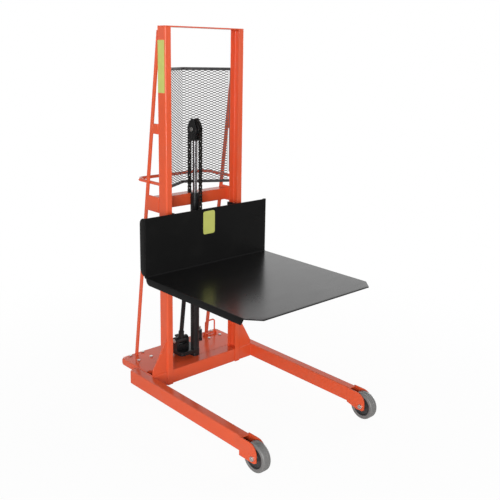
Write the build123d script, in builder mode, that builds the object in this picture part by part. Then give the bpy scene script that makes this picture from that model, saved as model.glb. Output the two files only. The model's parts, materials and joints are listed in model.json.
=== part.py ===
# Platform stacker: straddle base, twin channel mast, hydraulic ram with a two to one chain lift.
# Millimetres. +Z is up, the legs and the deck point to -Y, the origin is on the floor under the middle.
from build123d import *
import math
import os

# Straddle base
wheel_diameter = 127.0
wheel_width = 42.0
tread_round = 8.0
wheel_rim_diameter = 94.0
wheel_dish_diameter = 86.0
wheel_dish_width = 19.0
wheel_boss_diameter = 34.0
wheel_hub_diameter = 24.0
leg_width = 46.0
leg_height = 70.0
leg_wall = 4.0
leg_corner = 6.0
leg_bottom = 58.5
leg_gap = 637.0
leg_rear_reach = 138.0
axle_reach = 764.0
wheel_end_gap = 5.0
axle_diameter = 12.0
axle_head_diameter = 22.0
axle_head_height = 7.0
fork_thickness = 5.0
fork_overlap = 12.0
fork_drop = 14.0
fork_nose = 23.0
fork_nose_radius = 46.0
crossmember_wall = 5.0
crossmember_depth = 70.0
window_inset = 27.0
window_margin = 4.0
plate_reach = 298.0
plate_thickness = 5.0
plate_flange = 31.0
plate_corner = 12.0
gusset_thickness = 6.0
gusset_height = 170.0
gusset_toe = 24.0
gusset_setback = 9.0

# Mast
mast_height = 1788.0
mast_width = 472.0
column_depth = 65.0
column_flange = 32.0
column_wall = 5.0
column_corner = 8.0
tie_thickness = 5.5
brace_depth = 20.0
brace_thickness = 8.0
brace_foot_reach = 283.0
brace_top_drop = 14.0
brace_top_tail = 2.0
upper_tie_bottom = 1297.0
upper_tie_height = 48.0
lower_tie_bottom = 922.0
lower_tie_height = 75.0
mid_top = 985.0
mid_height = 58.0
mid_depth = 55.0
mid_wall = 5.0
mid_clear = 0.25

# Guard and push handle
guard_bottom = 1026.0
guard_top_drop = 187.0
guard_fold_reach = 181.0
mesh_thickness = 2.0
mesh_long = 61.0
mesh_short = 25.4
mesh_strand = 3.6
mesh_border = 9.0
trim_height = 14.0
trim_thickness = 8.0
strip_thickness = 2.5
strip_side_gap = 1.0
handle_height = 1057.0
handle_reach = 280.0
handle_diameter = 16.0
handle_bend = 45.0
handle_brace_gap = 2.0

# Ram and chain
barrel_diameter = 45.0
barrel_bore = 37.0
barrel_top = 975.0
barrel_clear = 0.5
gland_height = 16.0
gland_chamfer = 2.0
rod_diameter = 22.0
piston_height = 30.0
piston_bottom = 440.0
seat_gap = 0.05
stop_gap = 2.0
sheave_pitch_radius = 44.0
sheave_width = 24.0
sheave_rise = 57.0
sheave_side_gap = 0.3
sheave_rim_rise = 1.0
sheave_cheek_gap = 2.0
sheave_groove_slope = 1.0
yoke_plate = 6.0
yoke_base_height = 10.0
yoke_foot_half = 13.0
yoke_cheek_half = 34.0
yoke_shoulder_drop = 17.0
yoke_shoulder_rise = 9.0
yoke_crown_half = 6.0
yoke_crown_rise = 53.0
pin_diameter = 14.0
pin_head_diameter = 22.0
pin_head_height = 4.0
chain_pitch = 15.875
chain_plate = 2.5
chain_roller_width = 9.6
chain_half_depth = 7.2
chain_waist = 5.4
chain_seat_gap = 0.3
anchor_height = 14.0
anchor_width = 16.0
anchor_depth = 12.0
stud_diameter = 10.0
stud_length = 30.0
stud_nut_diameter = 18.0
stud_nut_height = 8.0

# Carriage and platform, in the half raised position of the photograph
deck_height = 652.0
deck_low = 140.0
deck_width = 760.0
deck_reach = 770.0
back_reach = 29.5
back_height = 279.0
sheet_thickness = 4.5
sheet_bend = 5.0
deck_chamfer_side = 62.0
deck_chamfer_front = 55.0
deck_flange = 31.0
deck_flange_round = 27.0
back_return = 40.0
back_corner = 30.0
back_heel = 32.0
carriage_plate = 8.0
carriage_inset = 8.0
carriage_foot_gap = 2.0
carriage_rear = 60.0
carriage_foot = 10.0
carriage_top = 273.0
arm_length = 590.0
arm_height = 36.0
arm_tip_height = 16.0
bar_thickness = 14.0
bar_height = 44.0
chain_bar_depth = 16.0
chain_bar_height = 40.0
chain_bar_rise = 148.0
roller_side_gap = 0.4
roller_width = 20.0
roller_end_gap = 4.0
roller_pitch = 205.0
roller_low_rise = 38.0
roller_axle_diameter = 16.0
roller_collar_diameter = 24.0
clip_thickness = 1.5
clip_diameter = 21.0
collar_gap = 0.3

# Pump
pump_height = 40.0
pump_foot_height = 20.0
pump_foot_left = 22.0
pump_left = 104.0
pump_right = 23.0
pump_front_margin = 0.5
pump_edge = 1.5
pump_rear = 86.0
pump_corner = 22.0
rocker_setback = 37.0
rocker_height = 87.5
rocker_diameter = 40.0
rocker_hub_diameter = 38.0
rocker_arm_width = 18.0
rocker_left = 102.0
rocker_right = 26.0
ear_thickness = 12.0
ear_gap = 0.5
saddle_gap = 3.0
rocker_pin_diameter = 16.0
lever_lean = 7.4
lever_diameter = 22.0
lever_length = 390.0
lever_socket_diameter = 29.0
lever_socket_length = 48.0
lever_insert = 30.0
lever_end_round = 6.0
arm_nose_reach = 38.0
arm_nose_radius = 5.0
arm_nose_angle = 20.0
arm_nose_gap = 1.4
plunger_diameter = 12.0
plunger_tip = 5.0
plunger_seat = 8.0
plunger_stroke = 26.0
plunger_sleeve_diameter = 26.0
plunger_sleeve_height = 14.0
valve_x = 32.0
valve_diameter = 24.0
valve_bottom = 199.0
valve_height = 60.0
valve_hex_height = 14.0
valve_hex_diameter = 28.0
stem_diameter = 8.0
stem_height = 17.0
stem_seat = 27.0
stem_travel = 6.0
stem_knob_diameter = 13.6
stem_knob_height = 8.5

# Release pedal
pedal_reach = 250.0
pedal_width = 64.0
pedal_height = 75.0
pedal_rod = 8.0
pedal_axle = 10.0
pedal_bend = 14.0
pedal_axis_height = 9.0
pedal_overhang = 11.0
lug_thickness = 5.0
lug_width = 18.0

# Casters
caster_x = 231.0
caster_reach = 246.0
caster_plate_side = 100.0
caster_plate_thickness = 6.0
caster_bolt_pitch = 76.0
caster_bolt_diameter = 10.0
caster_bolt_head_diameter = 18.0
caster_bolt_head_height = 6.0
caster_trail = 30.0
caster_wheel_diameter = 100.0
caster_wheel_width = 32.0
caster_tread_round = 4.0
caster_head_diameter = 64.0
caster_head_thickness = 6.0
caster_race_diameter = 56.0
caster_race_gap = 0.3
caster_crown_gap = 4.0
caster_leg_thickness = 4.0
caster_leg_half = 24.0
caster_boss_radius = 13.0
caster_hub_gap = 0.3
caster_axle_diameter = 10.0
kingpin_diameter = 14.0
kingpin_nut_diameter = 24.0
kingpin_nut_height = 3.5

# Places worked out from the sizes above
mast_y = (axle_reach + wheel_diameter / 2 - plate_reach) / 2
column_rear = mast_y + column_depth
column_outer = mast_width / 2
column_inner = column_outer - column_flange
web_inner = column_outer - column_wall
leg_inner = leg_gap / 2
leg_x = leg_inner + leg_width / 2
leg_outer = leg_inner + leg_width
leg_top = leg_bottom + leg_height
axle_y = mast_y - axle_reach
axle_z = wheel_diameter / 2
leg_rear_y = mast_y + leg_rear_reach
leg_front_y = axle_y + wheel_diameter / 2 + wheel_end_gap
cross_front = mast_y + column_wall
cross_rear = cross_front + crossmember_depth
plate_rear = mast_y + plate_reach
plate_under = leg_top - plate_thickness
column_top = mast_height - tie_thickness
ram_y = column_rear + barrel_diameter / 2 + barrel_clear
chain_half_width = chain_roller_width / 2 + chain_plate
chain_front_y = ram_y - sheave_pitch_radius
chain_rear_y = ram_y + sheave_pitch_radius
ram_drop = (deck_height - deck_low) / 2
gland_top = barrel_top + gland_height
yoke_bottom = gland_top + ram_drop + stop_gap
sheave_z = yoke_bottom + sheave_rise
yoke_inner = sheave_width / 2 + sheave_cheek_gap
yoke_outer = yoke_inner + yoke_plate
pump_top = leg_top + pump_height
guard_top = mast_height - guard_top_drop
sides = (("left", -1), ("right", 1))

os.makedirs("parts", exist_ok=True)


def save(piece, label):
    """Label a finished piece and write it to its own file."""
    piece.part.label = label
    export_step(piece.part, f"parts/{label}.step")


# Legs: closed at the rear, open in front behind the wheel
for side, s in sides:
    with BuildPart() as leg:
        with BuildSketch(Plane.XZ.offset(-leg_rear_y)):
            with Locations((s * leg_x, leg_bottom + leg_height / 2)):
                RectangleRounded(leg_width, leg_height, leg_corner)
        extrude(amount=leg_rear_y - leg_front_y)
        with BuildSketch(Plane.XZ.offset(-leg_rear_y + leg_wall)):
            with Locations((s * leg_x, leg_bottom + leg_height / 2)):
                RectangleRounded(leg_width - 2 * leg_wall, leg_height - 2 * leg_wall, leg_corner - leg_wall)
        extrude(amount=leg_rear_y - leg_front_y, mode=Mode.SUBTRACT)
    save(leg, f"leg_{side}")

# Wheel forks: a plate on each side of each leg, with a rounded nose; the inner ones have a cropped heel
fork_rear = leg_front_y + fork_overlap
fork_front = axle_y - fork_nose
fork_bottom = leg_bottom - fork_drop
outer_heel = [(fork_rear, fork_bottom)]
inner_heel = [(axle_y + axle_head_diameter, fork_bottom), (fork_rear, leg_bottom)]
with BuildPart() as forks:
    for x, heel in (
        (-leg_outer - fork_thickness, outer_heel),
        (-leg_inner, inner_heel),
        (leg_inner - fork_thickness, inner_heel),
        (leg_outer, outer_heel),
    ):
        with BuildSketch(Plane.YZ.offset(x)) as fork_face:
            with BuildLine():
                Polyline(
                    *heel,
                    (fork_rear, leg_top),
                    (fork_front, leg_top),
                    (fork_front, axle_z - axle_head_diameter / 2),
                    (axle_y - axle_head_diameter / 2, fork_bottom),
                    close=True,
                )
            make_face()
            nose = fork_face.vertices().sort_by(Axis.Y)[-2:].sort_by(Axis.X)[0]
            fillet(nose, radius=fork_nose_radius)
            with Locations((axle_y, axle_z)):
                Circle(axle_diameter / 2 + seat_gap, mode=Mode.SUBTRACT)
        extrude(amount=fork_thickness)
save(forks, "wheel_fork_plates")

# Front axle bolts, head outside and nut inside
with BuildPart() as front_axles:
    for side, s in sides:
        inner_end = leg_inner - fork_thickness - axle_head_height
        with BuildSketch(Plane.YZ.offset(s * inner_end)):
            with Locations((axle_y, axle_z)):
                Circle(axle_diameter / 2)
        extrude(amount=s * (leg_outer + fork_thickness + axle_head_height - inner_end))
        for face, length in ((leg_outer + fork_thickness, axle_head_height), (inner_end, axle_head_height)):
            with BuildSketch(Plane.YZ.offset(s * face)):
                with Locations((axle_y, axle_z)):
                    RegularPolygon(axle_head_diameter / 2, 6)
            extrude(amount=s * length)
save(front_axles, "front_axles")

# Front wheels: rounded tread on a dished hub
hub_half = leg_width / 2 - caster_hub_gap
half_profile = (
    (hub_half, axle_diameter / 2 + seat_gap),
    (hub_half, wheel_hub_diameter / 2),
    (wheel_dish_width / 2, wheel_boss_diameter / 2),
    (wheel_dish_width / 2, wheel_dish_diameter / 2),
    (wheel_width / 2, wheel_rim_diameter / 2),
    (wheel_width / 2, wheel_diameter / 2),
)
wheel_profile = [(x, r) for x, r in half_profile] + [(-x, r) for x, r in reversed(half_profile)]
for side, s in sides:
    with BuildPart() as wheel:
        with BuildSketch(Plane.XY.offset(axle_z)) as wheel_section:
            with BuildLine():
                Polyline(*[(s * leg_x + x, axle_y + r) for x, r in wheel_profile], close=True)
            make_face()
            fillet(wheel_section.vertices().group_by(Axis.Y)[-1], radius=tread_round)
        revolve(axis=Axis((0, axle_y, axle_z), (1, 0, 0)))
    save(wheel, f"front_wheel_{side}")

# Base cross member: square tube between the legs, with a window in its top beside each column
gusset_y = mast_y + gusset_setback
window_inner = column_outer + window_inset
window_outer = leg_inner - window_margin
window_front = gusset_y + gusset_thickness + window_margin
window_rear = cross_rear - crossmember_wall
with BuildPart() as crossmember:
    with BuildSketch(Plane.YZ.offset(-leg_inner)):
        with Locations((cross_front + crossmember_depth / 2, leg_bottom + leg_height / 2)):
            RectangleRounded(crossmember_depth, leg_height, crossmember_wall)
            Rectangle(
                crossmember_depth - 2 * crossmember_wall,
                leg_height - 2 * crossmember_wall,
                mode=Mode.SUBTRACT,
            )
    extrude(amount=leg_gap)
    for side, s in sides:
        with BuildSketch(Plane.XY.offset(leg_top)):
            with Locations((s * (window_inner + window_outer) / 2, (window_front + window_rear) / 2)):
                Rectangle(window_outer - window_inner, window_rear - window_front)
        extrude(amount=-crossmember_wall, mode=Mode.SUBTRACT)
save(crossmember, "base_crossmember")

# Base plate behind the cross member, with its sides turned down and bolt holes for the casters
caster_y = mast_y + caster_reach
with BuildPart() as base_plate:
    with BuildSketch(Plane.XY.offset(plate_under)) as plate_outline:
        with Locations((0, (cross_rear + plate_rear) / 2)):
            Rectangle(leg_gap, plate_rear - cross_rear)
        fillet(plate_outline.vertices().group_by(Axis.Y)[-1], radius=plate_corner)
    extrude(amount=plate_thickness)
    for side, s in sides:
        with BuildSketch(Plane.YZ.offset(s * leg_inner)) as side_flange:
            with BuildLine():
                Polyline(
                    (cross_rear, plate_under),
                    (plate_rear - plate_corner, plate_under),
                    (plate_rear - plate_corner, leg_top - plate_flange),
                    (cross_rear, leg_top - plate_flange),
                    close=True,
                )
            make_face()
            rear_low = side_flange.vertices().group_by(Axis.X)[-1].sort_by(Axis.Y)[0]
            fillet(rear_low, radius=plate_corner)
        extrude(amount=-s * plate_thickness)
        with Locations((s * caster_x, caster_y, leg_top)):
            with GridLocations(caster_bolt_pitch, caster_bolt_pitch, 2, 2):
                Hole(caster_bolt_diameter / 2 + seat_gap, depth=2 * plate_thickness)
save(base_plate, "base_plate")

# Foot gussets between the columns and the legs
with BuildPart() as gussets:
    for side, s in sides:
        with BuildSketch(Plane.XZ.offset(-gusset_y)):
            with BuildLine():
                Polyline(
                    (s * column_outer, leg_top),
                    (s * leg_inner, leg_top),
                    (s * leg_inner, leg_top + gusset_toe),
                    (s * column_outer, leg_top + gusset_height),
                    close=True,
                )
            make_face()
        extrude(amount=-gusset_thickness)
save(gussets, "foot_gussets")

# Mast columns: channels open to the middle, the front flange running down over the cross member
for side, s in sides:
    with BuildPart() as column:
        with BuildSketch(Plane.XY.offset(leg_bottom)) as channel:
            with Locations((s * (column_outer - column_flange / 2), mast_y + column_depth / 2)):
                Rectangle(column_flange, column_depth)
            outer_corners = channel.vertices().group_by(Axis.X)[0 if s < 0 else -1]
            fillet(outer_corners, radius=column_corner)
            with Locations((s * (web_inner - column_flange), mast_y + column_depth / 2)):
                RectangleRounded(
                    2 * column_flange,
                    column_depth - 2 * column_wall,
                    column_corner - column_wall,
                    mode=Mode.SUBTRACT,
                )
        extrude(amount=column_top - leg_bottom)
        with Locations((s * column_outer, cross_front, leg_bottom)):
            Box(
                4 * column_flange,
                2 * column_depth,
                leg_height,
                align=(Align.CENTER, Align.MIN, Align.MIN),
                mode=Mode.SUBTRACT,
            )
    save(column, f"mast_column_{side}")

# Top tie: flat plate across both columns
with BuildPart() as top_tie:
    with BuildSketch(Plane.XY.offset(column_top)):
        with Locations((0, mast_y + column_depth / 2)):
            RectangleRounded(mast_width, column_depth, column_corner)
    extrude(amount=tie_thickness)
save(top_tie, "top_tie")

# Rear braces: flat bars from the base plate to the top of the columns
brace_top_z = column_top - brace_top_drop
brace_foot_y = mast_y + brace_foot_reach
brace_lean = (brace_foot_y + brace_depth / 2 - column_rear - brace_top_tail) / (brace_top_z - leg_top)


def brace_front(z):
    """Y of the front edge of a brace at the height z."""
    return brace_foot_y - brace_depth / 2 - (z - leg_top) * brace_lean


with BuildPart() as braces:
    for side, s in sides:
        with BuildSketch(Plane.YZ.offset(s * column_outer)):
            with BuildLine():
                crop_z = leg_top + (brace_foot_y - brace_depth / 2 - column_rear) / brace_lean
                Polyline(
                    (brace_front(leg_top), leg_top),
                    (column_rear, crop_z),
                    (column_rear, brace_top_z),
                    (brace_front(brace_top_z) + brace_depth, brace_top_z),
                    (brace_front(leg_top) + brace_depth, leg_top),
                    close=True,
                )
            make_face()
        extrude(amount=-s * brace_thickness)
save(braces, "rear_braces")

# Brace ties: two plates a side between the column and its brace
with BuildPart() as brace_ties:
    for side, s in sides:
        for bottom, height in ((upper_tie_bottom, upper_tie_height), (lower_tie_bottom, lower_tie_height)):
            with BuildSketch(Plane.YZ.offset(s * column_outer)):
                with BuildLine():
                    Polyline(
                        (column_rear, bottom),
                        (brace_front(bottom), bottom),
                        (brace_front(bottom + height), bottom + height),
                        (column_rear, bottom + height),
                        close=True,
                    )
                make_face()
            extrude(amount=-s * brace_thickness)
save(brace_ties, "brace_ties")

# Middle cross member: an angle between the lower ties, behind the ram
mid_front = ram_y + barrel_diameter / 2 + mid_clear
mid_half = column_outer - brace_thickness
with BuildPart() as mid:
    with BuildSketch(Plane.YZ.offset(-mid_half)):
        with BuildLine():
            Polyline(
                (mid_front, mid_top - mid_height),
                (mid_front + mid_wall, mid_top - mid_height),
                (mid_front + mid_wall, mid_top - mid_wall),
                (mid_front + mid_depth, mid_top - mid_wall),
                (mid_front + mid_depth, mid_top),
                (mid_front, mid_top),
                close=True,
            )
        make_face()
    extrude(amount=2 * mid_half)
    with Locations((0, chain_rear_y, mid_top)):
        Hole(stud_diameter / 2 + seat_gap, depth=2 * mid_wall)
save(mid, "mid_crossmember")

# Guard: two wings of expanded metal that meet in a fold behind the chain
fold_y = mast_y + guard_fold_reach
wing_x = column_inner + strip_thickness
wing_y = column_rear + strip_thickness / 2
wing_length = math.hypot(wing_x, fold_y - wing_y)
along = (wing_x / wing_length, (wing_y - fold_y) / wing_length, 0)
facing = (along[1], -along[0], 0)
mesh_bottom = guard_bottom + trim_height
mesh_height = guard_top - guard_bottom - 2 * trim_height
mesh_columns = int((wing_length - 2 * mesh_border) / mesh_long)
mesh_rows = int((mesh_height - 2 * mesh_border) / mesh_short)
half_long = mesh_long / 2 - mesh_strand
half_short = mesh_short / 2 - mesh_strand / 2
strip_bottom = handle_height + 2 * handle_diameter
strip_outer = column_outer - brace_thickness - strip_side_gap
for side, s in sides:
    with BuildPart() as guard:
        with BuildSketch(Plane(origin=(0, fold_y, mesh_bottom), x_dir=along, z_dir=facing)):
            with Locations((wing_length / 2, mesh_height / 2)):
                Rectangle(wing_length, mesh_height)
                for fewer in (0, 1):
                    with GridLocations(mesh_long, mesh_short, mesh_columns - fewer, mesh_rows - fewer):
                        Polygon(
                            (-half_long, 0),
                            (0, -half_short),
                            (half_long, 0),
                            (0, half_short),
                            mode=Mode.SUBTRACT,
                        )
        extrude(amount=mesh_thickness / 2, both=True)
        with Locations((wing_x - mesh_thickness, column_rear, strip_bottom)):
            Box(
                strip_outer - wing_x + mesh_thickness,
                strip_thickness,
                guard_top - trim_height - strip_bottom,
                align=(Align.MIN, Align.MIN, Align.MIN),
            )
        split(bisect_by=Plane.YZ, keep=Keep.TOP)
        with BuildSketch(Plane.XY.offset(mesh_bottom)):
            with Locations((wing_x, column_rear)):
                Rectangle(4 * column_flange, 4 * strip_thickness, align=(Align.CENTER, Align.MAX))
        extrude(amount=mesh_height, mode=Mode.SUBTRACT)
        if s < 0:
            mirror(about=Plane.YZ, mode=Mode.REPLACE)
    save(guard, f"guard_mesh_{side}")

# Guard trims: a folded edging along the top and the bottom of the mesh
for label, bottom in (("guard_trim_top", guard_top - trim_height), ("guard_trim_bottom", guard_bottom)):
    with BuildPart() as trim:
        with BuildSketch(Plane.XY.offset(bottom)):
            with BuildLine():
                Polyline((-wing_x, wing_y), (0, fold_y), (wing_x, wing_y))
            trace(line_width=trim_thickness)
            with Locations((0, column_rear)):
                Rectangle(
                    2 * mast_width,
                    4 * trim_thickness,
                    align=(Align.CENTER, Align.MAX),
                    mode=Mode.SUBTRACT,
                )
        extrude(amount=trim_height)
    save(trim, label)

# Guard bolts: three a side, heads behind the fixing strip
bolt_x = (wing_x + strip_outer) / 2 + strip_thickness / 2
bolt_span = guard_top - trim_height - strip_bottom
with BuildPart() as guard_bolts:
    for side, s in sides:
        for step in (1, 3, 5):
            height = strip_bottom + bolt_span * step / 6
            with BuildSketch(Plane.XZ.offset(-column_rear - strip_thickness)):
                with Locations((s * bolt_x, height)):
                    RegularPolygon(pin_diameter / 2, 6)
            extrude(amount=-pin_head_height)
save(guard_bolts, "guard_bolts")

# Push handle: one round bar bent to a U behind the braces
handle_x = column_outer - brace_thickness - handle_brace_gap - handle_diameter / 2
handle_y = mast_y + handle_reach
with BuildPart() as handle:
    with BuildLine():
        FilletPolyline(
            (-handle_x, column_rear, handle_height),
            (-handle_x, handle_y, handle_height),
            (handle_x, handle_y, handle_height),
            (handle_x, column_rear, handle_height),
            radius=handle_bend,
        )
    with BuildSketch(Plane.XZ.offset(-column_rear)):
        with Locations((-handle_x, handle_height)):
            Circle(handle_diameter / 2)
    sweep()
save(handle, "push_handle")

# Pump body: a casting with a seat for the ram, a saddle with two ears for the rocker, and a plunger sleeve
rocker_y = ram_y + rocker_setback
rocker_z = leg_top + rocker_height
lever_x = -(rocker_left + rocker_right) / 2
nose_angle = math.radians(arm_nose_angle)
nose_y = rocker_y + arm_nose_reach * math.cos(nose_angle)
nose_z = rocker_z + arm_nose_reach * math.sin(nose_angle)
plunger_top = nose_z - arm_nose_radius - arm_nose_gap
plunger_floor = leg_top + plunger_seat
pump_front = ram_y - barrel_diameter / 2 - pump_front_margin
pump_under = leg_top + pump_foot_height
with BuildPart() as pump:
    for left, bottom, height in (
        (pump_left, pump_under, pump_height - pump_foot_height),
        (pump_foot_left, leg_top, pump_foot_height),
    ):
        with BuildSketch(Plane.XY.offset(bottom)):
            with Locations(((pump_right - left) / 2, (ram_y + pump_rear + pump_front) / 2)):
                RectangleRounded(left + pump_right, ram_y + pump_rear - pump_front, pump_corner)
        extrude(amount=height)
    fillet(pump.edges().group_by(Axis.Z)[-1], radius=pump_edge)
    for end in (-rocker_left, -rocker_right - ear_thickness):
        with BuildSketch(Plane.YZ.offset(end)):
            with Locations((rocker_y, rocker_z)):
                Circle(rocker_diameter / 2)
            with Locations((rocker_y, pump_under)):
                Rectangle(rocker_diameter, rocker_z - pump_under, align=(Align.CENTER, Align.MIN))
            with Locations((rocker_y, rocker_z)):
                Circle(rocker_pin_diameter / 2 + seat_gap, mode=Mode.SUBTRACT)
        extrude(amount=ear_thickness)
    saddle_height = rocker_z - rocker_hub_diameter / 2 - saddle_gap - pump_under
    with Locations((lever_x, rocker_y, pump_under)):
        Box(
            rocker_left - rocker_right, rocker_hub_diameter, saddle_height,
            align=(Align.CENTER, Align.CENTER, Align.MIN),
        )
    with BuildSketch(Plane.XY.offset(leg_top)):
        with Locations((lever_x, nose_y)):
            Circle(plunger_sleeve_diameter / 2)
    extrude(amount=pump_height + plunger_sleeve_height)
    with BuildSketch(Plane.XY.offset(plunger_floor)):
        with Locations((lever_x, nose_y)):
            Circle(plunger_diameter / 2 + seat_gap)
    extrude(amount=pump_height + plunger_sleeve_height, mode=Mode.SUBTRACT)
save(pump, "pump_body")

# Rocker pin, with a head at the left and a clip at the right
with BuildPart() as rocker_pin:
    for start, end, diameter in (
        (-rocker_left - pin_head_height, -rocker_left, pin_head_diameter),
        (-rocker_left, -rocker_right + clip_thickness, rocker_pin_diameter),
        (-rocker_right, -rocker_right + clip_thickness, pin_head_diameter),
    ):
        with BuildSketch(Plane.YZ.offset(start)):
            with Locations((rocker_y, rocker_z)):
                Circle(diameter / 2)
        extrude(amount=end - start)
save(rocker_pin, "rocker_pin")

# Pump rocker: hub on the pin, a socket for the lever and a rear arm whose nose rides on the plunger
hub_left = -rocker_left + ear_thickness + ear_gap
hub_right = -rocker_right - ear_thickness - ear_gap
lean = math.radians(lever_lean)
lever_plane = Plane(
    origin=(lever_x, rocker_y, rocker_z), x_dir=(1, 0, 0), z_dir=(0, -math.sin(lean), math.cos(lean))
)
socket_floor = lever_socket_length - lever_insert
with BuildPart() as rocker:
    with BuildSketch(Plane.YZ.offset(hub_left)):
        with Locations((rocker_y, rocker_z)):
            Circle(rocker_hub_diameter / 2)
    extrude(amount=hub_right - hub_left)
    with BuildSketch(Plane.YZ.offset(lever_x - rocker_arm_width / 2)):
        with Locations((rocker_y, rocker_z), (nose_y, nose_z)):
            Circle(arm_nose_radius)
        make_hull()
    extrude(amount=rocker_arm_width)
    with BuildSketch(lever_plane):
        Circle(lever_socket_diameter / 2)
    extrude(amount=lever_socket_length)
    with BuildSketch(lever_plane.offset(socket_floor)):
        Circle(lever_diameter / 2 + seat_gap)
    extrude(amount=lever_socket_length, mode=Mode.SUBTRACT)
    with BuildSketch(Plane.YZ.offset(hub_left)):
        with Locations((rocker_y, rocker_z)):
            Circle(rocker_pin_diameter / 2 + seat_gap)
    extrude(amount=hub_right - hub_left, mode=Mode.SUBTRACT)
save(rocker, "pump_rocker")

# Pump lever: a plain round bar with a domed end
with BuildPart() as lever:
    with BuildSketch(lever_plane.offset(socket_floor)):
        Circle(lever_diameter / 2)
    extrude(amount=lever_length)
    fillet(lever.edges().sort_by(Axis.Z)[-1], radius=lever_end_round)
save(lever, "pump_lever")

# Pump plunger under the nose of the rocker
plunger_bottom = plunger_floor + plunger_stroke + stop_gap
with BuildPart() as plunger:
    with BuildSketch(Plane.XY.offset(plunger_bottom)):
        with Locations((lever_x, nose_y)):
            Circle(plunger_diameter / 2)
    extrude(amount=plunger_top - plunger_bottom)
    chamfer(plunger.edges().sort_by(Axis.Z)[-1], length=plunger_tip, length2=plunger_diameter / 3)
save(plunger, "pump_plunger")

# Release valve: its body is hollowed to the side of the barrel, and a stem slides in it
valve_top = valve_bottom + valve_height
with BuildPart() as valve:
    with BuildSketch(Plane.XY.offset(valve_bottom)):
        with Locations((valve_x, ram_y)):
            Circle(valve_diameter / 2)
    extrude(amount=valve_height)
    with BuildSketch(Plane.XY.offset(valve_bottom)):
        with Locations((valve_x, ram_y)):
            RegularPolygon(valve_hex_diameter / 2, 6)
    extrude(amount=valve_hex_height)
    with BuildSketch(Plane.XY.offset(valve_bottom)):
        with Locations((0, ram_y)):
            Circle(barrel_diameter / 2 + seat_gap)
    extrude(amount=valve_height, mode=Mode.SUBTRACT)
    with BuildSketch(Plane.XY.offset(valve_top - stem_seat - stem_travel)):
        with Locations((valve_x, ram_y)):
            Circle(stem_diameter / 2 + seat_gap)
    extrude(amount=valve_height, mode=Mode.SUBTRACT)
save(valve, "release_valve_body")

with BuildPart() as stem:
    with BuildSketch(Plane.XY.offset(valve_top - stem_seat)):
        with Locations((valve_x, ram_y)):
            Circle(stem_diameter / 2)
    extrude(amount=stem_seat + stem_height)
    with BuildSketch(Plane.XY.offset(valve_top + stem_height)):
        with Locations((valve_x, ram_y)):
            Circle(stem_knob_diameter / 2)
    extrude(amount=-stem_knob_height)
save(stem, "release_stem")

# Release pedal: a bent loop of round bar on a cross bar, held by two lugs on the base plate
pedal_x = column_outer - brace_thickness / 2
pedal_y = mast_y + pedal_reach
pedal_z = leg_top + pedal_axis_height
pedal_left = pedal_x - pedal_width / 2
pedal_right = pedal_x + pedal_width / 2
lug_gap = pedal_rod / 2 + collar_gap
with BuildPart() as pedal:
    with BuildLine():
        FilletPolyline(
            (pedal_left, pedal_y, pedal_z),
            (pedal_left, pedal_y, pedal_z + pedal_height),
            (pedal_right, pedal_y, pedal_z + pedal_height),
            (pedal_right, pedal_y, pedal_z),
            radius=pedal_bend,
        )
    with BuildSketch(Plane.XY.offset(pedal_z)):
        with Locations((pedal_left, pedal_y)):
            Circle(pedal_rod / 2)
    sweep()
    with BuildSketch(Plane.YZ.offset(pedal_left - pedal_overhang)):
        with Locations((pedal_y, pedal_z)):
            Circle(pedal_axle / 2)
    extrude(amount=pedal_width + 2 * pedal_overhang)
save(pedal, "release_pedal")

with BuildPart() as lugs:
    for start in (pedal_left - lug_gap - lug_thickness, pedal_right + lug_gap):
        with BuildSketch(Plane.YZ.offset(start)):
            with Locations((pedal_y, pedal_z)):
                Circle(lug_width / 2)
            with Locations((pedal_y, leg_top)):
                Rectangle(lug_width, pedal_axis_height, align=(Align.CENTER, Align.MIN))
            with Locations((pedal_y, leg_top)):
                Rectangle(2 * lug_width, lug_width, align=(Align.CENTER, Align.MAX), mode=Mode.SUBTRACT)
            with Locations((pedal_y, pedal_z)):
                Circle(pedal_axle / 2 + seat_gap, mode=Mode.SUBTRACT)
        extrude(amount=lug_thickness)
save(lugs, "pedal_lugs")

# Ram: barrel, gland, rod and piston
with BuildPart() as barrel:
    with BuildSketch(Plane.XY.offset(pump_top)):
        with Locations((0, ram_y)):
            Circle(barrel_diameter / 2)
            Circle(barrel_bore / 2, mode=Mode.SUBTRACT)
    extrude(amount=barrel_top - pump_top)
save(barrel, "cylinder_barrel")

with BuildPart() as gland:
    with BuildSketch(Plane.XY.offset(barrel_top)):
        with Locations((0, ram_y)):
            Circle(barrel_diameter / 2 - barrel_clear)
    extrude(amount=gland_height)
    chamfer(gland.edges().group_by(Axis.Z)[-1], length=gland_chamfer)
    with BuildSketch(Plane.XY.offset(barrel_top)):
        with Locations((0, ram_y)):
            Circle(rod_diameter / 2 + seat_gap)
    extrude(amount=gland_height, mode=Mode.SUBTRACT)
save(gland, "cylinder_gland")

with BuildPart() as rod:
    with BuildSketch(Plane.XY.offset(piston_bottom + piston_height)):
        with Locations((0, ram_y)):
            Circle(rod_diameter / 2)
    extrude(amount=yoke_bottom - piston_bottom - piston_height)
save(rod, "ram_rod")

with BuildPart() as piston:
    with BuildSketch(Plane.XY.offset(piston_bottom)):
        with Locations((0, ram_y)):
            Circle(barrel_bore / 2 - seat_gap)
    extrude(amount=piston_height)
save(piston, "ram_piston")

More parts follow.
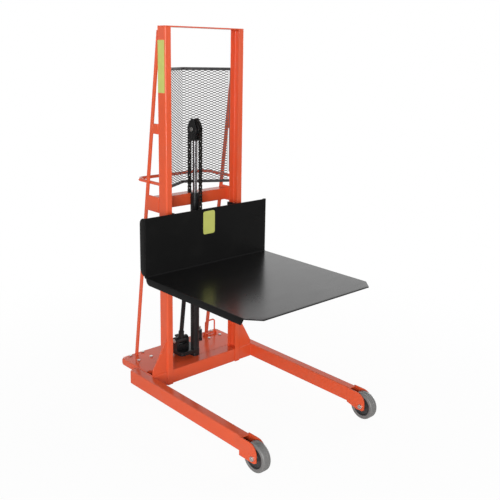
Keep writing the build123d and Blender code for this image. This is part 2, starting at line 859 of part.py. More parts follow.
# Chain yoke: a foot on the rod and two cheeks that carry the sheave
with BuildPart() as yoke:
    for start in (-yoke_outer, yoke_inner):
        with BuildSketch(Plane.YZ.offset(start)):
            with BuildLine():
                Polyline(
                    (ram_y - yoke_foot_half, yoke_bottom),
                    (ram_y + yoke_foot_half, yoke_bottom),
                    (ram_y + yoke_cheek_half, sheave_z - yoke_shoulder_drop),
                    (ram_y + yoke_cheek_half, sheave_z + yoke_shoulder_rise),
                    (ram_y + yoke_crown_half, sheave_z + yoke_crown_rise),
                    (ram_y - yoke_crown_half, sheave_z + yoke_crown_rise),
                    (ram_y - yoke_cheek_half, sheave_z + yoke_shoulder_rise),
                    (ram_y - yoke_cheek_half, sheave_z - yoke_shoulder_drop),
                    close=True,
                )
            make_face()
            with Locations((ram_y, sheave_z)):
                Circle(pin_diameter / 2 + seat_gap, mode=Mode.SUBTRACT)
        extrude(amount=yoke_plate)
    with Locations((0, ram_y, yoke_bottom)):
        Box(
            2 * yoke_inner,
            2 * yoke_foot_half,
            yoke_base_height,
            align=(Align.CENTER, Align.CENTER, Align.MIN),
        )
save(yoke, "chain_yoke")

# Sheave: a grooved wheel between the cheeks
groove_radius = sheave_pitch_radius - chain_half_depth - chain_seat_gap
rim_radius = sheave_pitch_radius + sheave_rim_rise
groove_half = chain_half_width + 2 * chain_seat_gap
sheave_hub = yoke_inner - sheave_side_gap
with BuildPart() as sheave:
    with BuildSketch(Plane.XY.offset(sheave_z)):
        with BuildLine():
            Polyline(
                (-sheave_hub, ram_y + pin_diameter / 2 + seat_gap),
                (-sheave_hub, ram_y + pin_diameter),
                (-sheave_width / 2, ram_y + pin_diameter),
                (-sheave_width / 2, ram_y + rim_radius),
                (-groove_half - sheave_groove_slope, ram_y + rim_radius),
                (-groove_half, ram_y + groove_radius),
                (groove_half, ram_y + groove_radius),
                (groove_half + sheave_groove_slope, ram_y + rim_radius),
                (sheave_width / 2, ram_y + rim_radius),
                (sheave_width / 2, ram_y + pin_diameter),
                (sheave_hub, ram_y + pin_diameter),
                (sheave_hub, ram_y + pin_diameter / 2 + seat_gap),
                close=True,
            )
        make_face()
    revolve(axis=Axis((0, ram_y, sheave_z), (1, 0, 0)))
save(sheave, "chain_sheave")

with BuildPart() as sheave_pin:
    for start, end, diameter in (
        (-yoke_outer - pin_head_height, -yoke_outer, pin_head_diameter),
        (-yoke_outer, yoke_outer + clip_thickness, pin_diameter),
        (yoke_outer, yoke_outer + clip_thickness, pin_head_diameter),
    ):
        with BuildSketch(Plane.YZ.offset(start)):
            with Locations((ram_y, sheave_z)):
                Circle(diameter / 2)
        extrude(amount=end - start)
save(sheave_pin, "sheave_pin")

# Carriage: the bent platform sheet and the frame behind it that runs in the columns
back_y = mast_y - back_reach
back_rear = back_y + sheet_thickness
deck_front = mast_y - deck_reach
deck_under = deck_height - sheet_thickness
back_top = deck_height + back_height
deck_half = deck_width / 2
flange_rear = back_y - sheet_bend
flange_front = deck_front + deck_chamfer_side
with BuildPart() as platform:
    with BuildSketch(Plane.YZ.offset(-deck_half)) as bend_profile:
        with BuildLine():
            Polyline(
                (deck_front, deck_under),
                (back_rear, deck_under),
                (back_rear, back_top),
                (back_y, back_top),
                (back_y, deck_height),
                (deck_front, deck_height),
                close=True,
            )
        make_face()
        fillet(bend_profile.vertices().sort_by_distance((back_y, deck_height))[0], radius=sheet_bend)
        fillet(
            bend_profile.vertices().sort_by_distance((back_rear, deck_under))[0],
            radius=sheet_bend + sheet_thickness,
        )
    extrude(amount=deck_width)
    for side, s in sides:
        with BuildSketch(Plane.XY.offset(deck_under)):
            with BuildLine():
                Polyline(
                    (s * deck_half, deck_front),
                    (s * deck_half, flange_front),
                    (s * (deck_half - deck_chamfer_front), deck_front),
                    close=True,
                )
            make_face()
        extrude(amount=sheet_thickness, mode=Mode.SUBTRACT)
        with BuildSketch(Plane.YZ.offset(s * deck_half)) as deck_edge:
            with BuildLine():
                Polyline(
                    (flange_rear, deck_height),
                    (flange_rear, deck_height - deck_flange),
                    (flange_front + deck_flange / 2, deck_height - deck_flange),
                    (flange_front, deck_height),
                    close=True,
                )
            make_face()
            heel = deck_edge.vertices().sort_by_distance((flange_rear, deck_height - deck_flange))[0]
            fillet(heel, radius=deck_flange_round)
        extrude(amount=-s * sheet_thickness)
        with BuildSketch(Plane.YZ.offset(s * deck_half)) as back_edge:
            with BuildLine():
                Polyline(
                    (back_y, deck_height + sheet_bend),
                    (back_y + back_return, deck_height + sheet_bend),
                    (back_y + back_return, back_top),
                    (back_y, back_top),
                    close=True,
                )
            make_face()
            lower, upper = back_edge.vertices().group_by(Axis.X)[-1].sort_by(Axis.Y)
            fillet(upper, radius=back_corner)
            fillet(lower, radius=back_heel)
        extrude(amount=-s * sheet_thickness)
save(platform, "platform")

# Carriage side plates, with bores for the roller axles
side_outer = column_inner - carriage_inset
side_inner = side_outer - carriage_plate
carriage_foot_y = mast_y - carriage_foot_gap
roller_y = mast_y + column_depth / 2
roller_heights = (deck_height + roller_low_rise, deck_height + roller_low_rise + roller_pitch)
with BuildPart() as carriage_sides:
    for side, s in sides:
        with BuildSketch(Plane.YZ.offset(s * side_outer)):
            with BuildLine():
                Polyline(
                    (back_rear, deck_under),
                    (carriage_foot_y, deck_under),
                    (carriage_foot_y, deck_height + carriage_foot),
                    (mast_y + carriage_rear, deck_height + carriage_foot),
                    (mast_y + carriage_rear, deck_height + carriage_top),
                    (back_rear, deck_height + carriage_top),
                    close=True,
                )
            make_face()
            with Locations(*[(roller_y, z) for z in roller_heights]):
                Circle(roller_axle_diameter / 2 + seat_gap, mode=Mode.SUBTRACT)
        extrude(amount=-s * carriage_plate)
save(carriage_sides, "carriage_sides")

# Deck arms: tapered bars under the deck
with BuildPart() as deck_arms:
    for side, s in sides:
        with BuildSketch(Plane.YZ.offset(s * side_outer)):
            with BuildLine():
                Polyline(
                    (carriage_foot_y, deck_under),
                    (carriage_foot_y - arm_length, deck_under),
                    (carriage_foot_y - arm_length, deck_under - arm_tip_height),
                    (carriage_foot_y - arm_height, deck_under - arm_height),
                    (carriage_foot_y, deck_under - arm_height),
                    close=True,
                )
            make_face()
        extrude(amount=-s * carriage_plate)
save(deck_arms, "deck_arms")

# Carriage bars behind the back plate, and the bar that takes the chain
with BuildPart() as carriage_bars:
    for bottom in (deck_height + 2 * carriage_foot, deck_height + carriage_top - bar_height):
        with Locations((0, back_rear, bottom)):
            Box(2 * side_inner, bar_thickness, bar_height, align=(Align.CENTER, Align.MIN, Align.MIN))
save(carriage_bars, "carriage_bars")

chain_bar_top = deck_height + chain_bar_rise + chain_bar_height
with BuildPart() as chain_bar:
    with Locations((0, chain_front_y, deck_height + chain_bar_rise)):
        Box(
            2 * side_inner,
            chain_bar_depth,
            chain_bar_height,
            align=(Align.CENTER, Align.CENTER, Align.MIN),
        )
    with Locations((0, chain_front_y, chain_bar_top)):
        Box(anchor_width, chain_bar_depth, anchor_height, align=(Align.CENTER, Align.CENTER, Align.MIN))
save(chain_bar, "chain_bar")

# Rollers in the columns and their axles
roller_radius = column_depth / 2 - column_wall - roller_side_gap
roller_outer = web_inner - roller_end_gap
roller_inner = roller_outer - roller_width
with BuildPart() as roller_axles:
    for side, s in sides:
        for z in roller_heights:
            for start, end, diameter in (
                (side_inner - pin_head_height, side_inner, roller_collar_diameter),
                (side_inner, roller_outer + collar_gap + clip_thickness, roller_axle_diameter),
                (side_outer, roller_inner - collar_gap, roller_collar_diameter),
                (roller_outer + collar_gap, roller_outer + collar_gap + clip_thickness, clip_diameter),
            ):
                with BuildSketch(Plane.YZ.offset(s * start)):
                    with Locations((roller_y, z)):
                        Circle(diameter / 2)
                extrude(amount=s * (end - start))
save(roller_axles, "roller_axles")

for side, s in sides:
    for level, z in zip(("lower", "upper"), roller_heights):
        with BuildPart() as roller:
            with BuildSketch(Plane.YZ.offset(s * roller_inner)):
                with Locations((roller_y, z)):
                    Circle(roller_radius)
            extrude(amount=s * roller_width)
            chamfer(roller.edges(), length=stop_gap)
            with BuildSketch(Plane.YZ.offset(s * roller_inner)):
                with Locations((roller_y, z)):
                    Circle(roller_axle_diameter / 2 + seat_gap)
            extrude(amount=s * roller_width, mode=Mode.SUBTRACT)
        save(roller, f"roller_{level}_{side}")

# Chain: two straight strands and the half turn over the sheave, with waisted plates and rollers


def link_count(bottom, top):
    """Number of whole links that fill a strand."""
    return max(2, round((top - bottom) / chain_pitch))


def strand_outline(y, bottom, top):
    """Side view of a strand: wide at every pin, waisted between the pins."""
    count = link_count(bottom, top)
    pitch = (top - bottom) / count
    right = [(y + chain_waist, bottom)]
    for link in range(count):
        middle = bottom + (link + 0.5) * pitch
        right += [
            (y + chain_half_depth, middle - pitch / 6),
            (y + chain_half_depth, middle + pitch / 6),
            (y + chain_waist, middle + pitch / 2),
        ]
    return right + [(2 * y - side, height) for side, height in reversed(right)]


chain_rear_bottom = mid_top + anchor_height
chain_front_bottom = chain_bar_top + anchor_height
for label, y, bottom in (
    ("chain_rear", chain_rear_y, chain_rear_bottom),
    ("chain_front", chain_front_y, chain_front_bottom),
):
    links = link_count(bottom, sheave_z)
    with BuildPart() as strand:
        for start in (-chain_half_width, chain_roller_width / 2):
            with BuildSketch(Plane.YZ.offset(start)):
                with BuildLine():
                    Polyline(*strand_outline(y, bottom, sheave_z), close=True)
                make_face()
            extrude(amount=chain_plate)
        with BuildSketch(Plane.YZ.offset(-chain_roller_width / 2)):
            with Locations((y, (bottom + sheave_z) / 2)):
                with GridLocations(1, (sheave_z - bottom) / links, 1, links):
                    RegularPolygon(chain_waist, 6)
        extrude(amount=chain_roller_width)
    save(strand, label)

wrap_links = round(math.pi * sheave_pitch_radius / chain_pitch)
wrap_step = 180 / wrap_links
with BuildPart() as wrap:
    for start in (-chain_half_width, chain_roller_width / 2):
        with BuildSketch(Plane.YZ.offset(start)):
            with Locations((ram_y, sheave_z)):
                Circle(sheave_pitch_radius + chain_waist)
                Circle(sheave_pitch_radius - chain_waist, mode=Mode.SUBTRACT)
                Rectangle(
                    4 * sheave_pitch_radius,
                    2 * sheave_pitch_radius,
                    align=(Align.CENTER, Align.MAX),
                    mode=Mode.SUBTRACT,
                )
                with PolarLocations(sheave_pitch_radius, wrap_links, wrap_step / 2, 180):
                    RegularPolygon(chain_half_depth, 8)
        extrude(amount=chain_plate)
    with BuildSketch(Plane.YZ.offset(-chain_roller_width / 2)):
        with Locations((ram_y, sheave_z)):
            with PolarLocations(sheave_pitch_radius, wrap_links, wrap_step / 2, 180):
                RegularPolygon(chain_waist, 6)
    extrude(amount=chain_roller_width)
save(wrap, "chain_wrap")

# Rear chain anchor: an eye on the middle cross member with a stud and a nut under its flange
with BuildPart() as anchor:
    with Locations((0, chain_rear_y, mid_top)):
        Box(anchor_width, anchor_depth, anchor_height, align=(Align.CENTER, Align.CENTER, Align.MIN))
    with BuildSketch(Plane.XY.offset(mid_top)):
        with Locations((0, chain_rear_y)):
            Circle(stud_diameter / 2)
    extrude(amount=-stud_length)
    with BuildSketch(Plane.XY.offset(mid_top - mid_wall)):
        with Locations((0, chain_rear_y)):
            RegularPolygon(stud_nut_diameter / 2, 6)
    extrude(amount=-stud_nut_height)
save(anchor, "chain_anchor_rear")

# Caster plates with their kingpins, under the base plate
mount_under = plate_under - caster_plate_thickness
crown_z = caster_wheel_diameter + caster_crown_gap
head_top = crown_z + caster_head_thickness
race_top = mount_under - caster_race_gap
nut_top = crown_z - caster_race_gap
with BuildPart() as caster_plates:
    for side, s in sides:
        with BuildSketch(Plane.XY.offset(mount_under)):
            with Locations((s * caster_x, caster_y)):
                RectangleRounded(caster_plate_side, caster_plate_side, plate_corner)
                with GridLocations(caster_bolt_pitch, caster_bolt_pitch, 2, 2):
                    Circle(caster_bolt_diameter / 2 + seat_gap, mode=Mode.SUBTRACT)
        extrude(amount=caster_plate_thickness)
        with BuildSketch(Plane.XY.offset(mount_under)):
            with Locations((s * caster_x, caster_y)):
                Circle(kingpin_diameter / 2)
        extrude(amount=nut_top - mount_under)
        with BuildSketch(Plane.XY.offset(nut_top)):
            with Locations((s * caster_x, caster_y)):
                Circle(kingpin_nut_diameter / 2)
        extrude(amount=-kingpin_nut_height)
save(caster_plates, "caster_plates")

# Caster bolts: heads on the base plate, nuts under the caster plates
with BuildPart() as caster_bolts:
    for side, s in sides:
        for start, length, diameter in (
            (leg_top, caster_bolt_head_height, caster_bolt_head_diameter),
            (mount_under, -caster_bolt_head_height, caster_bolt_head_diameter),
        ):
            with BuildSketch(Plane.XY.offset(start)):
                with Locations((s * caster_x, caster_y)):
                    with GridLocations(caster_bolt_pitch, caster_bolt_pitch, 2, 2):
                        RegularPolygon(diameter / 2, 6)
            extrude(amount=length)
        with BuildSketch(Plane.XY.offset(mount_under)):
            with Locations((s * caster_x, caster_y)):
                with GridLocations(caster_bolt_pitch, caster_bolt_pitch, 2, 2):
                    Circle(caster_bolt_diameter / 2)
        extrude(amount=leg_top - mount_under)
save(caster_bolts, "caster_bolts")

# Caster forks, their axles and wheels, trailing to the front at rest
caster_axle_y = caster_y - caster_trail
caster_axle_z = caster_wheel_diameter / 2
leg_face = caster_wheel_width / 2 + stop_gap
for side, s in sides:
    with BuildPart() as caster_fork:
        for start, top, diameter in (
            (crown_z, head_top, caster_head_diameter),
            (head_top, race_top, caster_race_diameter),
        ):
            with BuildSketch(Plane.XY.offset(start)):
                with Locations((s * caster_x, caster_y)):
                    Circle(diameter / 2)
            extrude(amount=top - start)
        for offset in (-leg_face - caster_leg_thickness, leg_face):
            with BuildSketch(Plane.YZ.offset(s * caster_x + offset)):
                with Locations((caster_y, crown_z)):
                    Rectangle(2 * caster_leg_half, caster_head_thickness, align=(Align.CENTER, Align.MIN))
                with Locations((caster_axle_y, caster_axle_z)):
                    Circle(caster_boss_radius)
                make_hull()
                with Locations((caster_axle_y, caster_axle_z)):
                    Circle(caster_axle_diameter / 2 + seat_gap, mode=Mode.SUBTRACT)
            extrude(amount=caster_leg_thickness)
        with BuildSketch(Plane.XY.offset(crown_z)):
            with Locations((s * caster_x, caster_y)):
                Circle(kingpin_diameter / 2 + seat_gap)
        extrude(amount=race_top - crown_z, mode=Mode.SUBTRACT)
    save(caster_fork, f"caster_fork_{side}")
    axle_half = leg_face + caster_leg_thickness
    with BuildPart() as caster_axle:
        for start, end, diameter in (
            (-axle_half, axle_half, caster_axle_diameter),
            (-axle_half - pin_head_height, -axle_half, caster_bolt_head_diameter),
            (axle_half, axle_half + pin_head_height, caster_bolt_head_diameter),
        ):
            with BuildSketch(Plane.YZ.offset(s * caster_x + start)):
                with Locations((caster_axle_y, caster_axle_z)):
                    Circle(diameter / 2)
            extrude(amount=end - start)
    save(caster_axle, f"caster_axle_{side}")
    with BuildPart() as caster_wheel:
        with BuildSketch(Plane.YZ.offset(s * caster_x - caster_wheel_width / 2)):
            with Locations((caster_axle_y, caster_axle_z)):
                Circle(caster_axle_z)
        extrude(amount=caster_wheel_width)
        fillet(caster_wheel.edges(), radius=caster_tread_round)
        with BuildSketch(Plane.YZ.offset(s * caster_x - leg_face + caster_hub_gap)):
            with Locations((caster_axle_y, caster_axle_z)):
                Circle(caster_boss_radius)
        extrude(amount=2 * (leg_face - caster_hub_gap))
        with BuildSketch(Plane.YZ.offset(s * caster_x - leg_face)):
            with Locations((caster_axle_y, caster_axle_z)):
                Circle(caster_axle_diameter / 2 + seat_gap)
        extrude(amount=2 * leg_face, mode=Mode.SUBTRACT)
    save(caster_wheel, f"caster_wheel_{side}")
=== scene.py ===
"""Looks of a platform stacker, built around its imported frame.

Lengths are metres in the frame's own axes: +Z is up, and the legs and the deck point to -Y.
"""

from __future__ import annotations

import json
import logging
import math
from collections.abc import Callable, Sequence
from dataclasses import dataclass, field
from enum import Enum
from typing import ClassVar

import bmesh
import bpy
import numpy as np
from mathutils import Matrix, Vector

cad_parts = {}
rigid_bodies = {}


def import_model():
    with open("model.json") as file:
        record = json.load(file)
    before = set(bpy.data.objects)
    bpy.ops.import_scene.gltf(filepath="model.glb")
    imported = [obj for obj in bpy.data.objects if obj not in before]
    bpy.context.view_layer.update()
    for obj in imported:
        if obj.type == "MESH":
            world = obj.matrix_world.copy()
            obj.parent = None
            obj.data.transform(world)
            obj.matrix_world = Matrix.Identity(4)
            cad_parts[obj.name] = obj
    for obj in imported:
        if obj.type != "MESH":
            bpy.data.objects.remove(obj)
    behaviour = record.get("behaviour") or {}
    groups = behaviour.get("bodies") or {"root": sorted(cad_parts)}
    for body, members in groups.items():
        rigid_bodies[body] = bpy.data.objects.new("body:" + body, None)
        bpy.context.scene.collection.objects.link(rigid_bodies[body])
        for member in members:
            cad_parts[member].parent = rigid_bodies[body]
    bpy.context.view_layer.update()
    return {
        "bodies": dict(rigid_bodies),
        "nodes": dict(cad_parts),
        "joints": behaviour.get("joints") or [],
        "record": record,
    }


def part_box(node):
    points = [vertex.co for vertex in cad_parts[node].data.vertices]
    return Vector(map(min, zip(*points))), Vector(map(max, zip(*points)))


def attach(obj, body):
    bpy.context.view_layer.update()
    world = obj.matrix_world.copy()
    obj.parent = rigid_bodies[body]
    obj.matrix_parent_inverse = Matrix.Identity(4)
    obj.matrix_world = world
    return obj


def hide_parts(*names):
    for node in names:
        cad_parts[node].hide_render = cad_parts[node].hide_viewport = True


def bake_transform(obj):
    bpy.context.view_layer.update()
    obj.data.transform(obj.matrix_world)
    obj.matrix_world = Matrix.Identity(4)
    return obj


Array = np.ndarray
Band = tuple[float, float]
Triple = tuple[float, float, float]
Colour = tuple[float, float, float, float]
SIDES = (("left", -1.0), ("right", 1.0))
RIGHT_ANGLE = math.pi / 2
DECK_HEIGHT = 0.652
BACK_RETURN = 0.040
AXLE_HEAD = 0.011
UP, ALONG = (0.0, 0.0, 1.0), (0.0, 1.0, 0.0)
WHITE = (1.0, 1.0, 1.0, 1.0)
log = logging.getLogger("stacker")


def srgb(red: int, green: int, blue: int) -> Colour:
    """Turn a screen colour of 0 to 255 a channel into a linear colour.

    A share of the full channel up to 0.04045 is divided by 12.92, and a higher one plus 0.055, over 1.055, is
    raised to 2.4.

    Args:
        red: Red channel.
        green: Green channel.
        blue: Blue channel.

    Returns:
        Linear red, green, blue and an alpha of one.
    """
    share = np.array([red, green, blue]) / 255
    linear = np.where(share <= 0.04045, share / 12.92, ((share + 0.055) / 1.055) ** 2.4)
    return (*(float(channel) for channel in linear), 1.0)


def span(node: str) -> tuple[Array, Array]:
    """Lowest and highest corner of a frame node as arrays."""
    low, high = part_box(node)
    return np.array(low), np.array(high)


def quarter(points: int) -> Array:
    """Even angles from none to a quarter turn."""
    return np.linspace(0, RIGHT_ANGLE, points)


def circle_points(count: int) -> Array:
    """Even points of a circle of radius one: the cosine and the sine of each angle."""
    angle = np.linspace(0, 2 * math.pi, count, endpoint=False)
    return np.stack([np.cos(angle), np.sin(angle)], axis=1)


# Forms

LEAST_RADIUS = 1e-5
LEAST_SIDE = 1e-9
LEAST_COSINE = 0.3
SAME_PLACE = 1e-7
SHARP_RADIUS = 0.002
LEAST_SHARP = 0.2
BEAD_SWELL = 0.12
BEAD_END = 0.3
BEAD_SIDES = 8
CREST_POINTS = 4
LEAST_BEAD_POINTS = 8
ROLL_POINTS = 3
BAR_ROLL_POINTS = 4
BEND_POINTS = 7
FLAT_POINTS = 13


class Way(Enum):
    """Direction that a profile is carried along."""

    X = 0
    Y = 1
    Z = 2

    def place(self, flat: Array, along: Array | float) -> Array:
        """Points from a profile's two coordinates and a distance along this direction.

        Args:
            flat: Profile coordinates, which take the other two axes in their order.
            along: Distance along this direction.

        Returns:
            Points with three coordinates.
        """
        first, second = (axis for axis in range(3) if axis != self.value)
        points = np.empty(np.broadcast_shapes(flat.shape[:-1], np.shape(along)) + (3,))
        points[..., first] = flat[..., 0]
        points[..., second] = flat[..., 1]
        points[..., self.value] = along
        return points


@dataclass(frozen=True)
class Form:
    """A shape before it is an object: points, four-sided faces, flat ends and a worn and highlit share per
    point.
    """

    points: Array
    quads: Array
    ends: tuple[tuple[int, ...], ...] = ()
    worn: Array | None = None

    def wear(self) -> Array:
        """Worn share of each point, none where none was given."""
        return np.zeros(len(self.points)) if self.worn is None else self.worn

    def moved(self, offset: Sequence[float]) -> Form:
        """The same shape moved by an offset."""
        return Form(self.points + np.asarray(offset), self.quads, self.ends, self.worn)


def together(forms: Sequence[Form]) -> Form:
    """All shapes of a list as one.

    Args:
        forms: The shapes.

    Returns:
        Their points in order, with faces and ends renumbered.
    """
    shifts = np.cumsum([0] + [len(form.points) for form in forms])
    return Form(
        np.concatenate([form.points for form in forms]),
        np.concatenate([form.quads + shift for form, shift in zip(forms, shifts)]),
        tuple(tuple(int(i + shift) for i in end) for form, shift in zip(forms, shifts) for end in form.ends),
        np.concatenate([form.wear() for form in forms]),
    )


def grid_faces(rows: int, columns: int, round_columns: bool, round_rows: bool = False) -> Array:
    """Four-sided faces of a grid of points that is stored row by row.

    Args:
        rows: Number of rows.
        columns: Points in a row.
        round_columns: Whether the last column joins the first.
        round_rows: Whether the last row joins the first.

    Returns:
        Point numbers, four a face.
    """
    row, column = np.meshgrid(
        np.arange(rows if round_rows else rows - 1),
        np.arange(columns if round_columns else columns - 1),
        indexing="ij",
    )
    next_row, next_column = (row + 1) % rows, (column + 1) % columns
    corners = (row * columns + column, row * columns + next_column)
    beyond = (next_row * columns + next_column, next_row * columns + column)
    return np.stack(corners + beyond, axis=-1).reshape(-1, 4)


def loft(rings: Array, worn: Array | None = None) -> Form:
    """Closed shape through rings of points, with a flat end on the first and the last.

    Args:
        rings: Points of each ring.
        worn: Worn share of each point, ring by ring.

    Returns:
        The shape.
    """
    count, size = rings.shape[:2]
    first, last = tuple(range(size)), tuple(range((count - 1) * size, count * size))
    return Form(rings.reshape(-1, 3), grid_faces(count, size, True), (first, last), worn)


def corner_arcs(before: Array, corner: Array, after: Array, radius: Array, steps: int) -> Array:
    """Arcs that round corners.

    The arc touches both sides at the radius over the tangent of half the corner's angle, and its points turn
    evenly from the one touching radius to the other.

    Args:
        before: Point before each corner.
        corner: The corners.
        after: Point after each corner.
        radius: Radius at each corner.
        steps: Points on each arc.

    Returns:
        The points of all arcs in order.
    """
    back, ahead = before - corner, after - corner
    back = back / np.linalg.norm(back, axis=1, keepdims=True)
    ahead = ahead / np.linalg.norm(ahead, axis=1, keepdims=True)
    half = np.arccos(np.clip((back * ahead).sum(1), -1, 1))[:, None] / 2
    radius = np.maximum(np.asarray(radius, float), LEAST_RADIUS).reshape(-1, 1) * np.ones_like(half)
    bisector = (back + ahead) / np.linalg.norm(back + ahead, axis=1, keepdims=True)
    centre = corner + bisector * radius / np.sin(half)
    start = corner + back * radius / np.tan(half) - centre
    stop = corner + ahead * radius / np.tan(half) - centre
    sweep = (math.pi - 2 * half)[:, :, None]
    share = np.linspace(0, 1, steps)[None, :, None]
    swung = np.sin((1 - share) * sweep) * start[:, None] + np.sin(share * sweep) * stop[:, None]
    return (centre[:, None] + swung / np.sin(sweep)).reshape(-1, corner.shape[1])


def outline(corners: Sequence[Sequence[float]], radius: float | Sequence[float], steps: int = 5) -> Array:
    """Closed outline with rounded corners, turned anticlockwise.

    Args:
        corners: Corner points.
        radius: One radius for all corners or one for each.
        steps: Points on each arc.

    Returns:
        Points of the outline.
    """
    flat = np.asarray(corners, float)
    radii = np.broadcast_to(np.asarray(radius, float), len(flat))
    after = np.roll(flat, -1, axis=0)
    if (flat[:, 0] * after[:, 1] - flat[:, 1] * after[:, 0]).sum() < 0:
        flat, radii = flat[::-1], radii[::-1]
    return corner_arcs(np.roll(flat, 1, axis=0), flat, np.roll(flat, -1, axis=0), radii, steps)


def box_outline(low: Sequence[float], high: Sequence[float], radius: float | Sequence[float]) -> Array:
    """Outline of a rectangle between two corners, with rounded corners."""
    return outline([(low[0], low[1]), (high[0], low[1]), (high[0], high[1]), (low[0], high[1])], radius)


def even_outline(half: Sequence[Band], radii: Sequence[float], steps: int) -> Array:
    """Outline of one side's corners and radii and their mirror images across the first axis's zero."""
    return outline([*half, *((-x, y) for x, y in reversed(half))], [*radii, *reversed(radii)], steps)


def sided(flat: Array, sign: float) -> Array:
    """An outline of the right side as it is, or mirrored to the left and still anticlockwise."""
    return flat if sign > 0 else (flat * [-1.0, 1.0])[::-1]


def route(points: Sequence[Sequence[float]], radius: float, steps: int) -> Array:
    """Open path through points with an arc at each inner corner.

    Args:
        points: Ends and corners.
        radius: Radius of every corner.
        steps: Points on each arc.

    Returns:
        Points of the path.
    """
    line = np.asarray(points, float)
    arcs = corner_arcs(line[:-2], line[1:-1], line[2:], np.full(len(line) - 2, radius), steps)
    return np.concatenate([line[:1], arcs, line[-1:]])


def inward(flat: Array) -> tuple[Array, Array]:
    """Step from each outline point to an outline one unit inside, and how sharply the outline turns there.

    The step is the mean of the two side normals over the cosine of half the turn, and the sharpness is the
    turn over the length of the longer side, so that it is small beside a flat.

    Args:
        flat: Anticlockwise outline.

    Returns:
        Steps, and turns per metre.
    """
    ahead = np.roll(flat, -1, axis=0) - flat
    length = np.linalg.norm(ahead, axis=1, keepdims=True)
    ahead = ahead / np.maximum(length, LEAST_SIDE)
    normal = np.stack([-ahead[:, 1], ahead[:, 0]], axis=1)
    middle = normal + np.roll(normal, 1, axis=0)
    middle = middle / np.linalg.norm(middle, axis=1, keepdims=True)
    cosine = np.clip((middle * normal).sum(1, keepdims=True), LEAST_COSINE, 1)
    longer = np.maximum(length, np.roll(length, 1, axis=0))[:, 0]
    return middle / cosine, 2 * np.arccos(cosine[:, 0]) / np.maximum(longer, LEAST_RADIUS)


def prism(flat: Array, way: Way, low: float, high: float, edge: float, cup: float = 0.0) -> Form:
    """Outline carried straight along a direction, with rolled edges at both ends.

    A ring at the roll's angle a lies inside by the edge times 1 - sin a, and by the edge times 1 - cos a from
    the end. The rolls and the outline's sharp corners get a worn share: worn paint and painted highlights.

    Args:
        flat: Outline.
        way: Direction.
        low: Where it starts.
        high: Where it ends.
        edge: Radius of the rolled edges.
        cup: Wall thickness where the low end is open, none where it is solid.

    Returns:
        The closed shape.
    """
    roll = quarter(ROLL_POINTS)
    depth, rise = edge * (1 - np.sin(roll)), edge * (1 - np.cos(roll))
    mouth = [cup, cup] if cup else []
    depths = np.concatenate([mouth, depth, depth[::-1]])
    along = np.concatenate([[high - cup, low] if cup else [], low + rise, high - rise[::-1]])
    step, sharpness = inward(flat)
    sharp = np.clip(sharpness * SHARP_RADIUS, 0, 1)
    sharp = np.where(sharp > LEAST_SHARP, sharp, 0)
    bare = np.zeros((len(mouth), 1))
    roll_wear = np.concatenate([bare, np.array([[0.0, 1.0, 0.0, 0.0, 1.0, 0.0]]).T])
    corner_wear = np.concatenate([bare, np.array([[0.0, 1.0, 1.0, 1.0, 1.0, 0.0]]).T])
    rings = flat[None] + depths[:, None, None] * step[None]
    return loft(way.place(rings, along[:, None]), np.maximum(roll_wear, corner_wear * sharp).reshape(-1))


def turned(profile: Array, way: Way, centre: Sequence[float], segments: int, ring: bool = False) -> Form:
    """Profile turned about a direction: centre plus radius times cosine and sine of an even angle.

    Args:
        profile: Rows of distance along the direction and radius; a solid one starts and ends at radius zero.
        way: Direction of the axis.
        centre: Point on the axis that distances are measured from.
        segments: Points round the axis.
        ring: Whether the profile is closed, for a piece with a bore.

    Returns:
        The closed shape.
    """
    profile = np.asarray(profile, float)
    points = way.place(profile[:, None, 1:] * circle_points(segments), profile[:, :1]) + np.asarray(centre)
    return Form(points.reshape(-1, 3), grid_faces(len(profile), segments, True, ring))


def bar_profile(low: float, high: float, radius: float, edge: float) -> Array:
    """Profile of a round bar: flat end, quarter roll, straight side, quarter roll, flat end.

    Args:
        low: Where it starts.
        high: Where it ends.
        radius: Radius of the bar.
        edge: Radius of the rolls.

    Returns:
        Rows of distance and radius.
    """
    roll = quarter(BAR_ROLL_POINTS)
    rise, depth = edge * (1 - np.cos(roll)), edge * (1 - np.sin(roll))
    start = np.stack([low + rise, radius - depth], axis=1)
    stop = np.stack([high - rise, radius - depth], axis=1)[::-1]
    return np.concatenate([[(low, 0.0)], start, stop, [(high, 0.0)]])


def tube(path: Array, radius: float | Array, upright: Sequence[float], sides: int) -> Form:
    """Circle carried along a path: radius times the angle's cosine sideways and its sine upright.

    Args:
        path: Points of a path in a plane.
        radius: One radius or one for each point of the path.
        upright: Unit vector square to the plane.
        sides: Points round the circle.

    Returns:
        The closed shape with flat ends.
    """
    upright = np.asarray(upright, float)
    run = np.gradient(path, axis=0)
    run = run / np.linalg.norm(run, axis=1, keepdims=True)
    aside = np.cross(run, upright)
    circle = circle_points(sides)
    reach = np.broadcast_to(np.asarray(radius, float), len(path))[:, None, None]
    return loft(path[:, None] + reach * (circle[:, :1] * aside[:, None] + circle[:, 1:] * upright))


def bead(start: Sequence[float], stop: Sequence[float], upright: Sequence[float], radius: float) -> Form:
    """Weld bead: a round bar whose radius swells by an eighth in a cosine, one diameter from crest to crest.

    Args:
        start: One end.
        stop: The other end.
        upright: Unit vector square to the bead.
        radius: Mean radius.

    Returns:
        The closed shape.
    """
    start, stop = np.asarray(start, float), np.asarray(stop, float)
    length = float(np.linalg.norm(stop - start))
    share = np.linspace(0, 1, max(int(CREST_POINTS * length / (2 * radius)), LEAST_BEAD_POINTS))
    swell = radius * (1 + BEAD_SWELL * np.cos(2 * math.pi * share * length / (2 * radius)))
    taper = np.clip(np.minimum(share, 1 - share) * length / radius, BEAD_END, 1)
    return tube(start + share[:, None] * (stop - start), swell * taper, upright, BEAD_SIDES)


